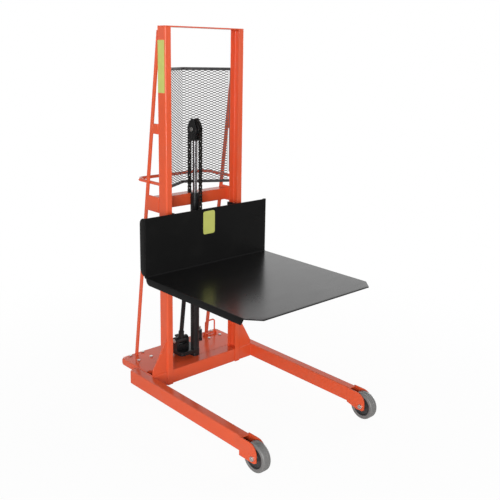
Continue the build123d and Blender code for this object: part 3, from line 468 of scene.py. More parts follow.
def beads(runs: Sequence[tuple[Triple, Triple, Triple, float]]) -> Form:
    """Weld beads on both sides.

    Args:
        runs: The right side's beads: start, end, upright and radius.

    Returns:
        These beads and their mirror images as one shape.
    """
    forms = []
    for _, sign in SIDES:
        mirror = np.array((sign, 1.0, 1.0))
        forms += [bead(start * mirror, stop * mirror, *section) for start, stop, *section in runs]
    return together(forms)


def bent_sheet(path: Array, facing: Array, flat: Array, drop: Array, bend: float) -> Form:
    """Sheet along a path, with both side edges turned away from its face.

    Across the sheet, a point runs out to the half width of the flat and then round the bend: at the length l
    past the flat it is bend * sin(l / bend) further out and bend * (1 - cos(l / bend)) behind the face, and
    after a quarter turn it goes straight back. Where two rows stand at the same place with other drops, the
    turned edge is cut.

    Args:
        path: Points along the middle of the face.
        facing: Direction that the face looks at each of them.
        flat: Half width of the flat at each point.
        drop: Depth of the turned edge at each point, none for a plain edge.
        bend: Outer radius of the bend.

    Returns:
        An open sheet, to which a wall is added.
    """
    length = bend * np.arccos(1 - np.minimum(drop / bend, 1)) + np.maximum(drop - bend, 0)
    share = np.concatenate([np.linspace(0, bend * RIGHT_ANGLE, BEND_POINTS), [np.inf]])
    run = np.minimum(share[None], length[:, None])
    turn = np.minimum(run / bend, RIGHT_ANGLE)
    out = flat[:, None] + bend * np.sin(turn)
    behind = bend * (1 - np.cos(turn)) + np.maximum(run - bend * RIGHT_ANGLE, 0)
    inner = flat[:, None] * np.linspace(-1, 1, FLAT_POINTS)[None, 1:-1]
    across = np.concatenate([-out[:, ::-1], inner, out], axis=1)
    back = np.concatenate([behind[:, ::-1], np.zeros_like(inner), behind], axis=1)
    points = path[:, None] + across[..., None] * np.array([1.0, 0.0, 0.0]) - back[..., None] * facing[:, None]
    columns = across.shape[1]
    quads = grid_faces(len(path), columns, False)
    row, column = quads[:, 0] // columns, quads[:, 0] % columns
    cut = np.linalg.norm(np.diff(path, axis=0), axis=1) < SAME_PLACE
    turned_edge = (column < len(share) - 1) | (column >= columns - len(share))
    return Form(points.reshape(-1, 3), quads[~(cut[row] & turned_edge)])


# Finishes


def operator(operation: str, flipped: bool = False) -> Callable[[Value, Value | float], Value]:
    """Make a method that adds one Math node.

    Args:
        operation: Name of the Math node's operation.
        flipped: Whether the other value comes first.

    Returns:
        The method.
    """

    def method(self: Value, other: Value | float) -> Value:
        """Output of the Math node."""
        first, second = (other, self) if flipped else (self, other)
        return self.shader.node("Math", {0: first, 1: second}, operation=operation)

    return method


@dataclass(frozen=True)
class Value:
    """A shader's socket that takes part in expressions: every operator adds one Math node."""

    shader: Shader
    socket: bpy.types.NodeSocket | None

    __add__, __radd__ = operator("ADD"), operator("ADD", flipped=True)
    __sub__, __rsub__ = operator("SUBTRACT"), operator("SUBTRACT", flipped=True)
    __mul__, __rmul__ = operator("MULTIPLY"), operator("MULTIPLY", flipped=True)
    larger = operator("MAXIMUM")

    def swing(self, reach: float) -> Value:
        """How far the value is from a half, times a reach."""
        return reach * (self - 0.5)

    def above(self, low: float, high: float) -> Value:
        """Smooth step from zero at the low value to one at the high value."""
        sockets = {"Value": self, "From Min": low, "From Max": high}
        return self.shader.node("MapRange", sockets, interpolation_type="SMOOTHSTEP")


Sockets = dict[str | int, object]
EVEN = (1.0, 1.0, 1.0)


@dataclass(frozen=True)
class Grain:
    """A cloudy pattern: clouds a metre, finer layers, and factors on the three coordinates."""

    scale: float
    detail: float
    stretch: Triple = EVEN


class Shader:
    """Nodes of a material or of the world."""

    def __init__(self, owner: bpy.types.Material | bpy.types.World) -> None:
        """Start with no nodes.

        Args:
            owner: Material or world that has the nodes.
        """
        self.owner = owner
        owner.use_nodes = True
        self.tree = owner.node_tree
        self.tree.nodes.clear()

    def node(
        self, kind: str, sockets: Sockets | None = None, output: str | int = 0, **settings: object
    ) -> Value:
        """Add a node.

        Args:
            kind: Type of the node, without the words that all types start with.
            sockets: Values or links of its sockets, by name or number.
            output: The output that is wanted.
            **settings: The node's settings, which are set first.

        Returns:
            That output.
        """
        node = self.tree.nodes.new(f"ShaderNode{kind}")
        for key, setting in settings.items():
            setattr(node, key, setting)
        for key, given in (sockets or {}).items():
            if isinstance(given, Value):
                self.tree.links.new(given.socket, node.inputs[key])
            else:
                node.inputs[key].default_value = given
        return Value(self, node.outputs[output] if len(node.outputs) else None)

    def place(self) -> Value:
        """Object coordinates."""
        return self.node("TexCoord", output="Object")

    def height(self, place: Value) -> Value:
        """Third coordinate of a place."""
        return self.node("SeparateXYZ", {0: place}, "Z")

    def noise(self, grain: Grain) -> Value:
        """Cloudy pattern of 0 to 1 on the object's own coordinates."""
        spot = self.node("Mapping", {"Vector": self.place(), "Scale": grain.stretch})
        return self.node("TexNoise", {"Vector": spot, "Scale": grain.scale, "Detail": grain.detail})

    def mix(self, share: Value | float, first: Value | Colour, second: Value | Colour) -> Value:
        """Blend of two colours."""
        return self.node("Mix", {0: share, 6: first, 7: second}, 2, data_type="RGBA")

    def worn(self) -> Value:
        """The mesh's own worn share, which marks edges for wear and for painted highlights."""
        return self.node("Attribute", output="Fac", attribute_name="worn")

    def bump(self, height: Value, strength: float, depth: float) -> Value:
        """Normal of a surface with small heights on it."""
        return self.node("Bump", {"Height": height, "Strength": strength, "Distance": depth})

    def close(self, surface: Value) -> bpy.types.Material:
        """Join a surface to the output and return the material."""
        self.node("OutputMaterial", {"Surface": surface})
        return self.owner


@dataclass(frozen=True)
class Finish:
    """What every finish has: its name, its colour and the record's slot.

    The slot is kept with the finish, but nothing here reads it.
    """

    name: str
    colour: Colour
    slot: str | None = field(default=None, kw_only=True)

    def material(self) -> bpy.types.Material:
        """Make the finish's material at its first use.

        Returns:
            The material.
        """
        label = f"{self.name}_finish"
        if label in bpy.data.materials:
            return bpy.data.materials[label]
        shader = Shader(bpy.data.materials.new(label))
        return shader.close(shader.node("BsdfPrincipled", self.sockets(shader)))

    def sockets(self, shader: Shader) -> Sockets:
        """Values of the surface's sockets: the bare colour, unless the finish gives more."""
        return {"Base Color": self.colour}

    def shade(self, factor: float) -> Colour:
        """The colour times a factor."""
        return (*(min(channel * factor, 1.0) for channel in self.colour[:3]), 1.0)

    def toned(self, shader: Shader, pattern: Value, tones: Band) -> Value:
        """The colour, times two factors at the ends of a pattern of 0 to 1."""
        return shader.mix(pattern, *(self.shade(tone) for tone in tones))


@dataclass(frozen=True)
class Paint(Finish):
    """Sprayed paint: faint orange peel, soft patches, dust, scuffs, and rubbed edges with painted highlights.
    """

    # Colour in the rubs and scuffs: bare ground, and in the frame's paint a light colour that paints
    # highlights on the rounded edges.
    under: Colour
    roughness: float = 0.3
    patch: float = 0.05
    dust: Colour = srgb(150, 120, 104)
    dust_share: float = 0.1
    wear: float = 0.3
    peel: float = 0.05
    specular: float = 0.14
    clouds: Grain = Grain(5.0, 3.0)
    fine: Grain = Grain(700.0, 1.0)
    grit: Grain = Grain(160.0, 4.0)
    film: Grain = Grain(9.0, 5.0)
    scuffs: Grain = Grain(26.0, 6.0, (1.0, 1.0, 0.35))
    film_band: Band = (0.5, 0.75)
    rub_and_highlight_band: Band = (0.46, 0.66)
    scuff_band: Band = (0.72, 0.76)
    scrape_band: Band = (0.45, 0.6)
    scrape_share: float = 0.5
    uneven: float = 0.1
    bare_roughness: float = 0.14
    grit_height: float = 0.4
    bare_depth: float = 0.5
    relief: float = 0.0006

    def sockets(self, shader: Shader) -> Sockets:
        """Paint in patches, dust on it, bare ground in the rubs and scuffs, which on the frame's edges are
        painted highlights, and orange peel.

        Args:
            shader: Where the nodes go.

        Returns:
            Values and links of the surface's sockets.
        """
        clouds, fine, grit = (shader.noise(grain) for grain in (self.clouds, self.fine, self.grit))
        painted = self.toned(shader, clouds, (1 - self.patch, 1 + self.patch))
        dusty = shader.noise(self.film).above(*self.film_band) * self.dust_share
        # Rubbed edges from the worn share: worn paint, and with the frame's light under colour a painted
        # highlight.
        rubbed = shader.worn() * grit.above(*self.rub_and_highlight_band) * self.wear
        scuffed = shader.noise(self.scuffs).above(*self.scuff_band)
        scraped = scuffed * grit.above(*self.scrape_band) * (self.scrape_share * self.wear)
        bare = rubbed.larger(scraped)
        dull = self.roughness + clouds.swing(self.uneven) + grit.swing(self.uneven)
        heights = fine + self.grit_height * grit - self.bare_depth * bare
        return {
            "Base Color": shader.mix(bare, shader.mix(dusty, painted, self.dust), self.under),
            "Roughness": dull + self.bare_roughness * bare,
            "Specular IOR Level": self.specular,
            "Normal": shader.bump(heights, self.peel, self.relief),
        }


@dataclass(frozen=True)
class PolishedPaint(Paint):
    """Paint that loads have polished on one level face: a clear gloss there, broken by faint rub marks."""

    level: float = 0.0
    band: float = 0.0003
    polish: float = 0.9
    polish_roughness: float = 0.22
    marks: Grain = Grain(40.0, 5.0, (0.2, 1.0, 1.0))
    mark_band: Band = (0.35, 0.8)
    mark_share: float = 0.12

    def sockets(self, shader: Shader) -> Sockets:
        """The paint's own, and a coat within the band about the level face, less its marks.

        Args:
            shader: Where the nodes go.

        Returns:
            Values and links of the surface's sockets.
        """
        height = shader.height(shader.place())
        marks = shader.noise(self.marks).above(*self.mark_band)
        reached = height.above(self.level - 2 * self.band, self.level - self.band)
        passed = height.above(self.level + self.band, self.level + 2 * self.band)
        gloss = reached * (1 - passed) * (1 - self.mark_share * marks)
        coat = {"Coat Weight": gloss * self.polish, "Coat Roughness": self.polish_roughness}
        return {**super().sockets(shader), **coat}


@dataclass(frozen=True)
class Metal(Finish):
    """Bare or plated metal: fine draw marks along one direction, dull patches and a little grime."""

    roughness: float = 0.3
    marks: Triple = (1.0, 1.0, 0.03)
    grime: Colour = srgb(58, 54, 50)
    grime_share: float = 0.2
    metallic: float = 1.0
    mark_scale: float = 1400.0
    mark_detail: float = 2.0
    patches: Grain = Grain(30.0, 4.0)
    dirt: Grain = Grain(75.0, 5.0)
    dirt_band: Band = (0.52, 0.72)
    tones: Band = (0.88, 1.08)
    hidden: float = 0.7
    patch_reach: float = 0.16
    mark_reach: float = 0.1
    dirt_roughness: float = 0.5
    strength: float = 0.05
    relief: float = 0.0003

    def sockets(self, shader: Shader) -> Sockets:
        """Metal in patches, dirt that hides it, and draw marks.

        Args:
            shader: Where the nodes go.

        Returns:
            Values and links of the surface's sockets.
        """
        lines = shader.noise(Grain(self.mark_scale, self.mark_detail, self.marks))
        patches = shader.noise(self.patches)
        dirt = shader.noise(self.dirt).above(*self.dirt_band) * self.grime_share
        dull = self.roughness + patches.swing(self.patch_reach) + lines.swing(self.mark_reach)
        return {
            "Base Color": shader.mix(dirt, self.toned(shader, patches, self.tones), self.grime),
            "Metallic": self.metallic * (1 - self.hidden * dirt),
            "Roughness": dull + self.dirt_roughness * dirt,
            "Normal": shader.bump(lines, self.strength, self.relief),
        }


@dataclass(frozen=True)
class Rubber(Finish):
    """Moulded rubber or nylon: matt, with a pale dusty bloom and fine pits."""

    roughness: float = 0.62
    bloom: Colour = srgb(150, 147, 142)
    bloom_share: float = 0.3
    clouds: Grain = Grain(38.0, 5.0)
    pits: Grain = Grain(700.0, 2.0)
    bloom_band: Band = (0.4, 0.75)
    tones: Band = (0.85, 1.12)
    bloom_roughness: float = 0.2
    pit_reach: float = 0.08
    specular: float = 0.4
    strength: float = 0.15
    relief: float = 0.0005

    def sockets(self, shader: Shader) -> Sockets:
        """Pitted rubber under a cloudy bloom.

        Args:
            shader: Where the nodes go.

        Returns:
            Values and links of the surface's sockets.
        """
        clouds, pits = shader.noise(self.clouds), shader.noise(self.pits)
        bloom = clouds.above(*self.bloom_band) * self.bloom_share
        return {
            "Base Color": shader.mix(bloom, self.toned(shader, pits, self.tones), self.bloom),
            "Roughness": self.roughness + self.bloom_roughness * bloom + pits.swing(self.pit_reach),
            "Specular IOR Level": self.specular,
            "Normal": shader.bump(pits + clouds, self.strength, self.relief),
        }


@dataclass(frozen=True)
class Foil(Finish):
    """Blank plate of printed foil: one colour, slightly faded in patches, with a soft gloss."""

    roughness: float = 0.38
    fade: Grain = Grain(22.0, 4.0)
    ripple: Grain = Grain(60.0, 1.0)
    tones: Band = (0.9, 1.06)
    fade_reach: float = 0.12
    strength: float = 0.05
    relief: float = 0.0006

    def sockets(self, shader: Shader) -> Sockets:
        """Faded foil with a faint ripple.

        Args:
            shader: Where the nodes go.

        Returns:
            Values and links of the surface's sockets.
        """
        fade = shader.noise(self.fade)
        return {
            "Base Color": self.toned(shader, fade, self.tones),
            "Roughness": self.roughness + fade.swing(self.fade_reach),
            "Normal": shader.bump(shader.noise(self.ripple), self.strength, self.relief),
        }


@dataclass(frozen=True)
class Palette:
    """The finishes of the stacker."""

    # The frame's under colour is lighter than its paint: on the rounded edges it paints highlights.
    frame: Finish = Paint("frame_paint", srgb(217, 86, 50), srgb(206, 134, 112), 0.18, specular=0.32)
    deck: Finish = PolishedPaint(
        "platform_black",
        srgb(20, 20, 20),
        under=srgb(70, 69, 68),
        patch=0.12,
        dust=srgb(62, 60, 58),
        dust_share=0.05,
        peel=0.03,
        specular=0.06,
        level=DECK_HEIGHT,
    )
    black: Finish = Paint(
        "black_paint",
        srgb(21, 21, 22),
        under=srgb(84, 82, 80),
        roughness=0.28,
        patch=0.15,
        dust=srgb(70, 68, 66),
        dust_share=0.2,
        specular=0.3,
    )
    trim: Finish = Rubber("trim_black", srgb(34, 34, 36), 0.5, srgb(72, 71, 70))
    mesh: Finish = Metal("mesh_steel", srgb(112, 112, 112), 0.45, EVEN, srgb(52, 50, 48), 0.4, 0.6)
    chain: Finish = Metal("chain_steel", srgb(52, 50, 48), 0.4, EVEN, srgb(20, 19, 18), 0.7)
    rubbed: Finish = Metal(
        "rubbed_steel", srgb(150, 148, 145), 0.36, EVEN, srgb(34, 33, 31), 0.4, slot="chain_steel"
    )
    bright: Finish = Metal("bright_steel", srgb(190, 189, 186), 0.28)
    zinc: Finish = Metal("zinc_steel", srgb(200, 200, 197), 0.34, EVEN)
    # The chrome is darker than bright chrome so that the rod's reflections of the white room come out dark:
    # painted shade in its reflection.
    chrome: Finish = Metal("chrome", srgb(118, 118, 120), 0.2, (1.0, 1.0, 0.02), srgb(60, 57, 52))
    tyre: Finish = Rubber("wheel_grey", srgb(112, 111, 110), 0.36, srgb(140, 138, 135), 0.2)
    hub: Finish = Rubber("hub_grey", srgb(54, 54, 55), 0.36, srgb(84, 83, 82), 0.2, slot="wheel_grey")
    plate: Finish = Foil("blank_plate", srgb(188, 192, 98), slot="")


# Objects


@dataclass(frozen=True)
class Piece:
    """One visible piece: its name, its finish, its body and the frame node that it stands for, if any."""

    name: str
    finish: Finish
    body: str = "frame"
    node: str = ""
    MERGE: ClassVar[float] = 2e-6
    SHARP: ClassVar[float] = math.radians(50)
    COPY_MERGE: ClassVar[float] = 1e-5
    COPY_FLAT: ClassVar[float] = math.radians(1)
    COPY_SHARP: ClassVar[float] = math.radians(35)
    COPY_ROUND: ClassVar[float] = math.radians(40)
    COPY_STEPS: ClassVar[int] = 2

    def solid(self, form: Form) -> None:
        """Make a closed piece and put it on its body."""
        self.settle(self.shaped(form))

    def sheet(self, form: Form, wall: float) -> None:
        """Make a piece of sheet and put it on its body.

        Args:
            form: The open face.
            wall: Thickness behind it.
        """
        thing = self.shaped(form, closed=False)
        thick = thing.modifiers.new("wall", "SOLIDIFY")
        thick.thickness = wall
        thick.offset = -1
        thick.use_even_offset = False
        thick.use_quality_normals = True
        self.settle(thing)

    def eased(self, frame: dict, edge: float) -> None:
        """Make the piece of a copy of its node: points merged, flats made whole and edges rounded.

        Args:
            frame: The loaded frame.
            edge: Radius of the rounded edges, none to leave them.
        """
        mesh = frame["nodes"][self.node].data.copy()
        mesh.name = self.name
        mesh.materials.clear()
        work = bmesh.new()
        work.from_mesh(mesh)
        bmesh.ops.remove_doubles(work, verts=work.verts, dist=self.COPY_MERGE)
        bmesh.ops.dissolve_limit(work, angle_limit=self.COPY_FLAT, verts=work.verts, edges=work.edges)
        work.to_mesh(mesh)
        work.free()
        thing = self.linked(mesh, self.COPY_SHARP)
        if edge:
            rounded = thing.modifiers.new("edges", "BEVEL")
            rounded.width = edge
            rounded.segments = self.COPY_STEPS
            rounded.limit_method = "ANGLE"
            rounded.angle_limit = self.COPY_ROUND
            rounded.use_clamp_overlap = True
        self.settle(thing)

    def shaped(self, form: Form, closed: bool = True) -> bpy.types.Object:
        """Make an object of a shape: points merged and faces outward.

        Args:
            form: The shape.
            closed: Whether it is closed, so that its faces can be turned outward.

        Returns:
            The object, at the origin.
        """
        mesh = bpy.data.meshes.new(self.name)
        mesh.from_pydata(form.points, [], form.quads.tolist() + [list(end) for end in form.ends])
        worn = mesh.attributes.new("worn", "FLOAT", "POINT")
        worn.data.foreach_set("value", form.wear().astype(np.float32))
        work = bmesh.new()
        work.from_mesh(mesh)
        bmesh.ops.remove_doubles(work, verts=work.verts, dist=self.MERGE)
        if closed:
            bmesh.ops.recalc_face_normals(work, faces=work.faces)
        work.to_mesh(mesh)
        work.free()
        return self.linked(mesh, self.SHARP)

    def linked(self, mesh: bpy.types.Mesh, sharp: float) -> bpy.types.Object:
        """Put a mesh in the scene, in the piece's finish and smooth but for edges above an angle.

        Args:
            mesh: The mesh.
            sharp: That angle.

        Returns:
            The object.
        """
        mesh.shade_smooth()
        mesh.set_sharp_from_angle(angle=sharp)
        mesh.materials.append(self.finish.material())
        thing = bpy.data.objects.new(self.name, mesh)
        bpy.context.scene.collection.objects.link(thing)
        return thing

    def settle(self, thing: bpy.types.Object) -> None:
        """Finish an object: weighted normals, its body, and its node hidden.

        Args:
            thing: The object.
        """
        thing.modifiers.new("weighted", "WEIGHTED_NORMAL").keep_sharp = True
        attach(thing, self.body)
        self.mark()
        log.info("%s rides on %s and stands for %s", self.name, self.body, self.node or "no node")

    def mark(self) -> None:
        """Hide the frame node that the piece stands for, where it has one.
        """
        if self.node:
            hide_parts(self.node)


@dataclass
class Assembly:
    """What every sub-assembly has: the finishes."""

    palette: Palette

    def painted(self, name: str, form: Form, node: str = "") -> None:
        """Make a solid piece of the frame in its paint."""
        Piece(name, self.palette.frame, "frame", node).solid(form)


@dataclass
class Base(Assembly):
    """Straddle legs, wheel forks, base plate, gussets and their welds."""

    edge: float = 0.0006
    leg_corner: float = 0.006
    leg_wall: float = 0.004
    fork_nose: float = 0.046
    fork_heel: float = 0.022
    fork_corner: float = 0.002
    fork_toe: float = 0.006
    fork_crop: float = 0.012
    fork_edge: float = 0.0008
    fork_points: int = 9
    axle_head: float = AXLE_HEAD
    gusset_toe: float = 0.024
    gusset_corner: float = 0.0008
    weld: float = 0.003
    thin_weld: float = 0.002
    weld_inset: float = 0.008
    weld_sink: float = 0.001
    plate_wall: float = 0.005
    plate_corner: float = 0.012
    plate_bend: float = 0.008
    plate_points: int = 6
    flange: float = 0.031

    def build(self) -> None:
        """Build every piece of the base."""
        self.legs()
        self.forks()
        self.base_plate()
        self.gussets()
        self.welds()

    def legs(self) -> None:
        """Rectangular tubes, open in front behind the wheel."""
        for side, _ in SIDES:
            low, high = span(f"leg_{side}")
            flat = box_outline(low[[0, 2]], high[[0, 2]], self.leg_corner)
            form = prism(flat, Way.Y, low[1], high[1], self.edge, self.leg_wall)
            self.painted(f"straddle_leg_{side}", form, f"leg_{side}")

    def forks(self) -> None:
        """Plates beside the wheels with a round nose and a cropped toe; the inner ones' heels are cropped."""
        low, high = span("wheel_fork_plates")
        axle = sum(span("front_axles")) / 2
        leg_low, leg_high = span("leg_right")
        toe = [(low[1], axle[2] - self.axle_head), (axle[1] - self.axle_head, low[2])]
        front = [(high[1], high[2]), (low[1], high[2]), *toe]
        heel = [(axle[1] + self.fork_heel, low[2]), (high[1], leg_low[2])]
        rounds = [self.fork_corner, self.fork_nose, self.fork_toe, self.fork_toe]
        outer = outline(front + [(high[1], low[2])], rounds + [self.fork_corner], self.fork_points)
        inner = outline(front + heel, rounds + [self.fork_crop, self.fork_corner], self.fork_points)
        wall = high[0] - leg_high[0]
        plates = [(outer, leg_high[0], high[0]), (inner, leg_low[0] - wall, leg_low[0])]
        plates += [(flat, -stop, -start) for flat, start, stop in plates]
        forms = [prism(flat, Way.X, start, stop, self.fork_edge) for flat, start, stop in plates]
        self.painted("wheel_forks", together(forms), "wheel_fork_plates")

    def base_plate(self) -> None:
        """Plate with turned-down sides and round rear corners: the flat draws in along a quarter circle."""
        low, high = span("base_plate")
        stop, corner, turn = high[1], self.plate_corner, quarter(self.plate_points)
        lost = corner * (1 - np.cos(turn))
        sides = np.concatenate([[low[1]], stop - 2 * corner + corner * np.sin(turn)])
        run = np.concatenate([sides, stop - corner + corner * np.sin(turn)])
        drop = np.concatenate([[self.flange], self.flange - lost, np.zeros(len(turn))])
        flat = high[0] - self.plate_bend - np.concatenate([np.zeros(len(sides)), lost])
        path = np.stack([np.zeros_like(run), run, np.full_like(run, high[2])], axis=1)
        form = bent_sheet(path, np.tile(UP, (len(run), 1)), flat, drop, self.plate_bend)
        Piece("rear_base_plate", self.palette.frame, node="base_plate").sheet(form, self.plate_wall)

    def gussets(self) -> None:
        """Plates between the columns and the legs, with a sloping edge above a short toe."""
        low, high = span("foot_gussets")
        column = span("mast_column_right")[1][0]
        toe = (high[0], low[2] + self.gusset_toe)
        corners = np.array([(column, low[2]), (high[0], low[2]), toe, (column, high[2])])
        flats = [outline(corners * [sign, 1.0], self.gusset_corner) for _, sign in SIDES]
        forms = [prism(flat, Way.Y, low[1], high[1], self.edge) for flat in flats]
        self.painted("gussets", together(forms), "foot_gussets")

    def welds(self) -> None:
        """Beads where the forks, the cross member, the columns and the gussets meet."""
        leg_low, leg_high = span("leg_right")
        heel = span("wheel_fork_plates")[1][1]
        bar_low, bar_high = span("base_crossmember")
        column = span("mast_column_right")[1]
        gusset_low, gusset_high = span("foot_gussets")
        inside, outside, front, top = leg_low[0], leg_high[0], gusset_low[1], leg_high[2]
        low, high, sunk = leg_low[2] + self.weld_inset, top - self.weld_inset, top - self.weld_sink
        peak = gusset_high[2] - self.weld_inset
        foot = (column[0], front, top)
        runs = (
            ((outside, heel, low), (outside, heel, high), ALONG, self.weld),
            ((inside, heel, low), (inside, heel, high), ALONG, self.weld),
            ((inside, bar_low[1], low), (inside, bar_low[1], high), ALONG, self.weld),
            ((inside, bar_low[1], sunk), (inside, bar_high[1], sunk), UP, self.weld),
            (foot, (column[0], column[1], top), UP, self.weld),
            (foot, (gusset_high[0], front, top), UP, self.thin_weld),
            (foot, (column[0], front, peak), ALONG, self.thin_weld),
        )
        self.painted("base_welds", beads(runs))


@dataclass
class Mast(Assembly):
    """Channel columns, head plate, sloping braces and their welds."""

    corner: float = 0.008
    wall: float = 0.005
    lip: float = 0.001
    column_edge: float = 0.0004
    flange_round: float = 0.0045
    flange_lap: float = 0.0002
    head_edge: float = 0.001
    brace_depth: float = 0.020
    brace_wall: float = 0.008
    brace_tail: float = 0.002
    brace_round: float = 0.001
    tail_round: float = 0.0006
    bar_edge: float = 0.0005
    weld: float = 0.0022
    head_weld: float = 0.0012

    def build(self) -> None:
        """Build every piece of the mast."""
        self.columns()
        self.head_plate()
        self.braces()
        self.welds()

    def columns(self) -> None:
        """Channels open to the middle, with the front flange run down over the cross member."""
        foot = span("base_crossmember")[1][2]
        for side, sign in SIDES:
            low, high = span(f"mast_column_{side}")
            inner, outer = sorted((abs(low[0]), abs(high[0])))
            web, front, rear = outer - self.wall, low[1] + self.wall, high[1] - self.wall
            outside = [(inner, low[1]), (outer, low[1]), (outer, high[1]), (inner, high[1])]
            inside = [(inner, rear), (web, rear), (web, front), (inner, front)]
            lip, bend, hollow = self.lip, self.corner, self.corner - self.wall
            radii = [lip, bend, bend, lip, lip, hollow, hollow, lip]
            channel = outline(np.array(outside + inside) * [sign, 1.0], radii)
            rounds = [lip, self.flange_round, lip, lip]
            flange = sided(box_outline((inner, low[1]), (outer, front), rounds), sign)
            forms = [
                prism(channel, Way.Z, foot, high[2], self.column_edge),
                prism(flange, Way.Z, low[2], foot + self.flange_lap, self.bar_edge),
            ]
            self.painted(f"column_{side}", together(forms), f"mast_column_{side}")

    def head_plate(self) -> None:
        """Flat plate across the columns."""
        low, high = span("top_tie")
        form = prism(box_outline(low, high, self.corner), Way.Z, low[2], high[2], self.head_edge)
        self.painted("head_plate", form, "top_tie")

    def braces(self) -> None:
        """Sloping flat bars from the base plate to the columns, cut off along the columns' rear faces."""
        low, high = span("rear_braces")
        heel = high[1] - self.brace_depth
        slope = (high[1] - low[1] - self.brace_tail) / (high[2] - low[2])
        foot, tail = self.brace_round, self.tail_round
        corners = [
            (heel, low[2]),
            (high[1], low[2]),
            (low[1] + self.brace_tail, high[2]),
            (low[1], high[2]),
            (low[1], low[2] + (heel - low[1]) / slope),
        ]
        flat = outline(corners, [foot, foot, tail, tail, foot])
        inner = high[0] - self.brace_wall
        sides = ((inner, high[0]), (-high[0], -inner))
        forms = [prism(flat, Way.X, near, far, self.bar_edge) for near, far in sides]
        self.painted("sloping_braces", together(forms), "rear_braces")

    def welds(self) -> None:
        """Beads where the head plate meets the columns and the braces meet the base plate."""
        low, high = span("rear_braces")
        column_low, column_high = span("mast_column_right")
        front, rear, head = column_low[1] + self.corner, column_high[1] - self.corner, column_high[2]
        outer, heel, foot = high[0], high[1] - self.brace_depth, low[2]
        runs = (
            ((outer, heel, foot), (outer, high[1], foot), UP, self.weld),
            ((outer, front, head), (outer, rear, head), UP, self.head_weld),
        )
        self.painted("mast_welds", beads(runs))


@dataclass
class Guard(Assembly):
    """Folded guard of expanded metal with black edgings."""

    long_way: float = 0.0305
    short_way: float = 0.0127
    strand: float = 0.0030
    gauge: float = 0.0014
    tilt: float = math.radians(24)
    bond: float = 0.22
    edging_half: float = 0.004
    edging_round: float = 0.003
    strip_width: float = 0.0225
    strip_lap: float = 0.003
    strip_wall: float = 0.0025
    strip_foot: float = 0.039
    strip_corner: float = 0.002
    strip_edge: float = 0.0004

    def build(self) -> None:
        """Build the two wings and the two edgings."""
        for side, sign in SIDES:
            wing = Piece(f"guard_wing_{side}", self.palette.mesh, node=f"guard_mesh_{side}")
            wing.solid(together([self.strands(sign), self.strip(sign)]))
        for level in ("top", "bottom"):
            edging = Piece(f"guard_edging_{level}", self.palette.trim, node=f"guard_trim_{level}")
            edging.solid(self.edging(edging.node))

    def fold(self) -> tuple[Array, Array]:
        """Find the sheet's middle line, seen from above.

        Returns:
            Its points at the fold and at the right wing's end.
        """
        rear = span("guard_trim_top")[1][1]
        low, high = span("guard_mesh_right")
        end = np.array([high[0] - self.strip_width, low[1] + self.strip_wall / 2])
        return np.array([0.0, rear - self.edging_half]), end

    def strands(self, sign: float) -> Form:
        """Strands of one wing.

        A strand runs along the wing and steps up and down by a quarter of the short way, less a third of its
        width, in a wave with flat tops. Each strand is half a long way behind its neighbour, so that
        neighbours meet at the flats. Its section is a rectangle leaned out of the sheet.

        Args:
            sign: Side of the wing.

        Returns:
            The shape.
        """
        start, stop = self.fold()
        low, high = span("guard_mesh_right")
        length = float(np.linalg.norm(stop - start))
        along = (stop - start) / length
        square = np.array([along[1], -along[0]])
        rows = int((high[2] - low[2]) / (self.short_way / 2))
        steps = int(length / (self.long_way / 4))
        row = np.arange(rows)[:, None]
        knot = np.arange(steps + 1)[None]
        lean = np.where(knot % 2 == 0, -self.bond, self.bond) * self.long_way / 4
        run = np.clip(knot * self.long_way / 4 + lean, 0, length)
        wave = np.where((knot // 2 + row) % 2 == 0, 1.0, -1.0)
        height = low[2] + (row + 0.5) * self.short_way / 2 + wave * (self.short_way / 4 - self.strand / 3)
        run = np.broadcast_to(run, height.shape)
        wide, thick = self.strand / 2, self.gauge / 2
        section = np.array([(-wide, -thick), (wide, -thick), (wide, thick), (-wide, thick)])
        up = section[:, 0] * math.cos(self.tilt) - section[:, 1] * math.sin(self.tilt)
        out = section[:, 0] * math.sin(self.tilt) + section[:, 1] * math.cos(self.tilt)
        points = np.empty((rows, steps + 1, 4, 3))
        points[..., 0] = sign * (run[..., None] * along[0] + out * square[0])
        points[..., 1] = start[1] + run[..., None] * along[1] + out * square[1]
        points[..., 2] = height[..., None] + up
        one = grid_faces(steps + 1, 4, True)
        quads = (one[None] + (np.arange(rows) * (steps + 1) * 4)[:, None, None]).reshape(-1, 4)
        return Form(points.reshape(-1, 3), quads)

    def strip(self, sign: float) -> Form:
        """Flat strip at a wing's end, bolted to the column.

        Args:
            sign: Side of the wing.

        Returns:
            The shape.
        """
        low, high = span("guard_mesh_right")
        inner = high[0] - self.strip_width - self.strip_lap
        flat = box_outline((inner, low[2] + self.strip_foot), (high[0], high[2]), self.strip_corner)
        return prism(sided(flat, sign), Way.Y, low[1], low[1] + self.strip_wall, self.strip_edge)

    def edging(self, node: str) -> Form:
        """Folded edging: a rounded section carried along both wings, mitred at the fold.

        Args:
            node: Frame node it stands for.

        Returns:
            The shape.
        """
        low, high = span(node)
        start, stop = self.fold()
        along = (stop - start) / np.linalg.norm(stop - start)
        square = np.array([-along[1], along[0]])
        mitre = np.array([0.0, 1.0 / square[1]])
        stations = np.array([stop * [-1, 1], start, stop])
        aside = np.array([square * [-1, 1], mitre, square])
        section = box_outline((-self.edging_half, low[2]), (self.edging_half, high[2]), self.edging_round)
        rings = np.empty((len(stations), len(section), 3))
        rings[..., :2] = stations[:, None] + section[None, :, :1] * aside[:, None]
        rings[..., 2] = section[None, :, 1]
        return loft(rings)


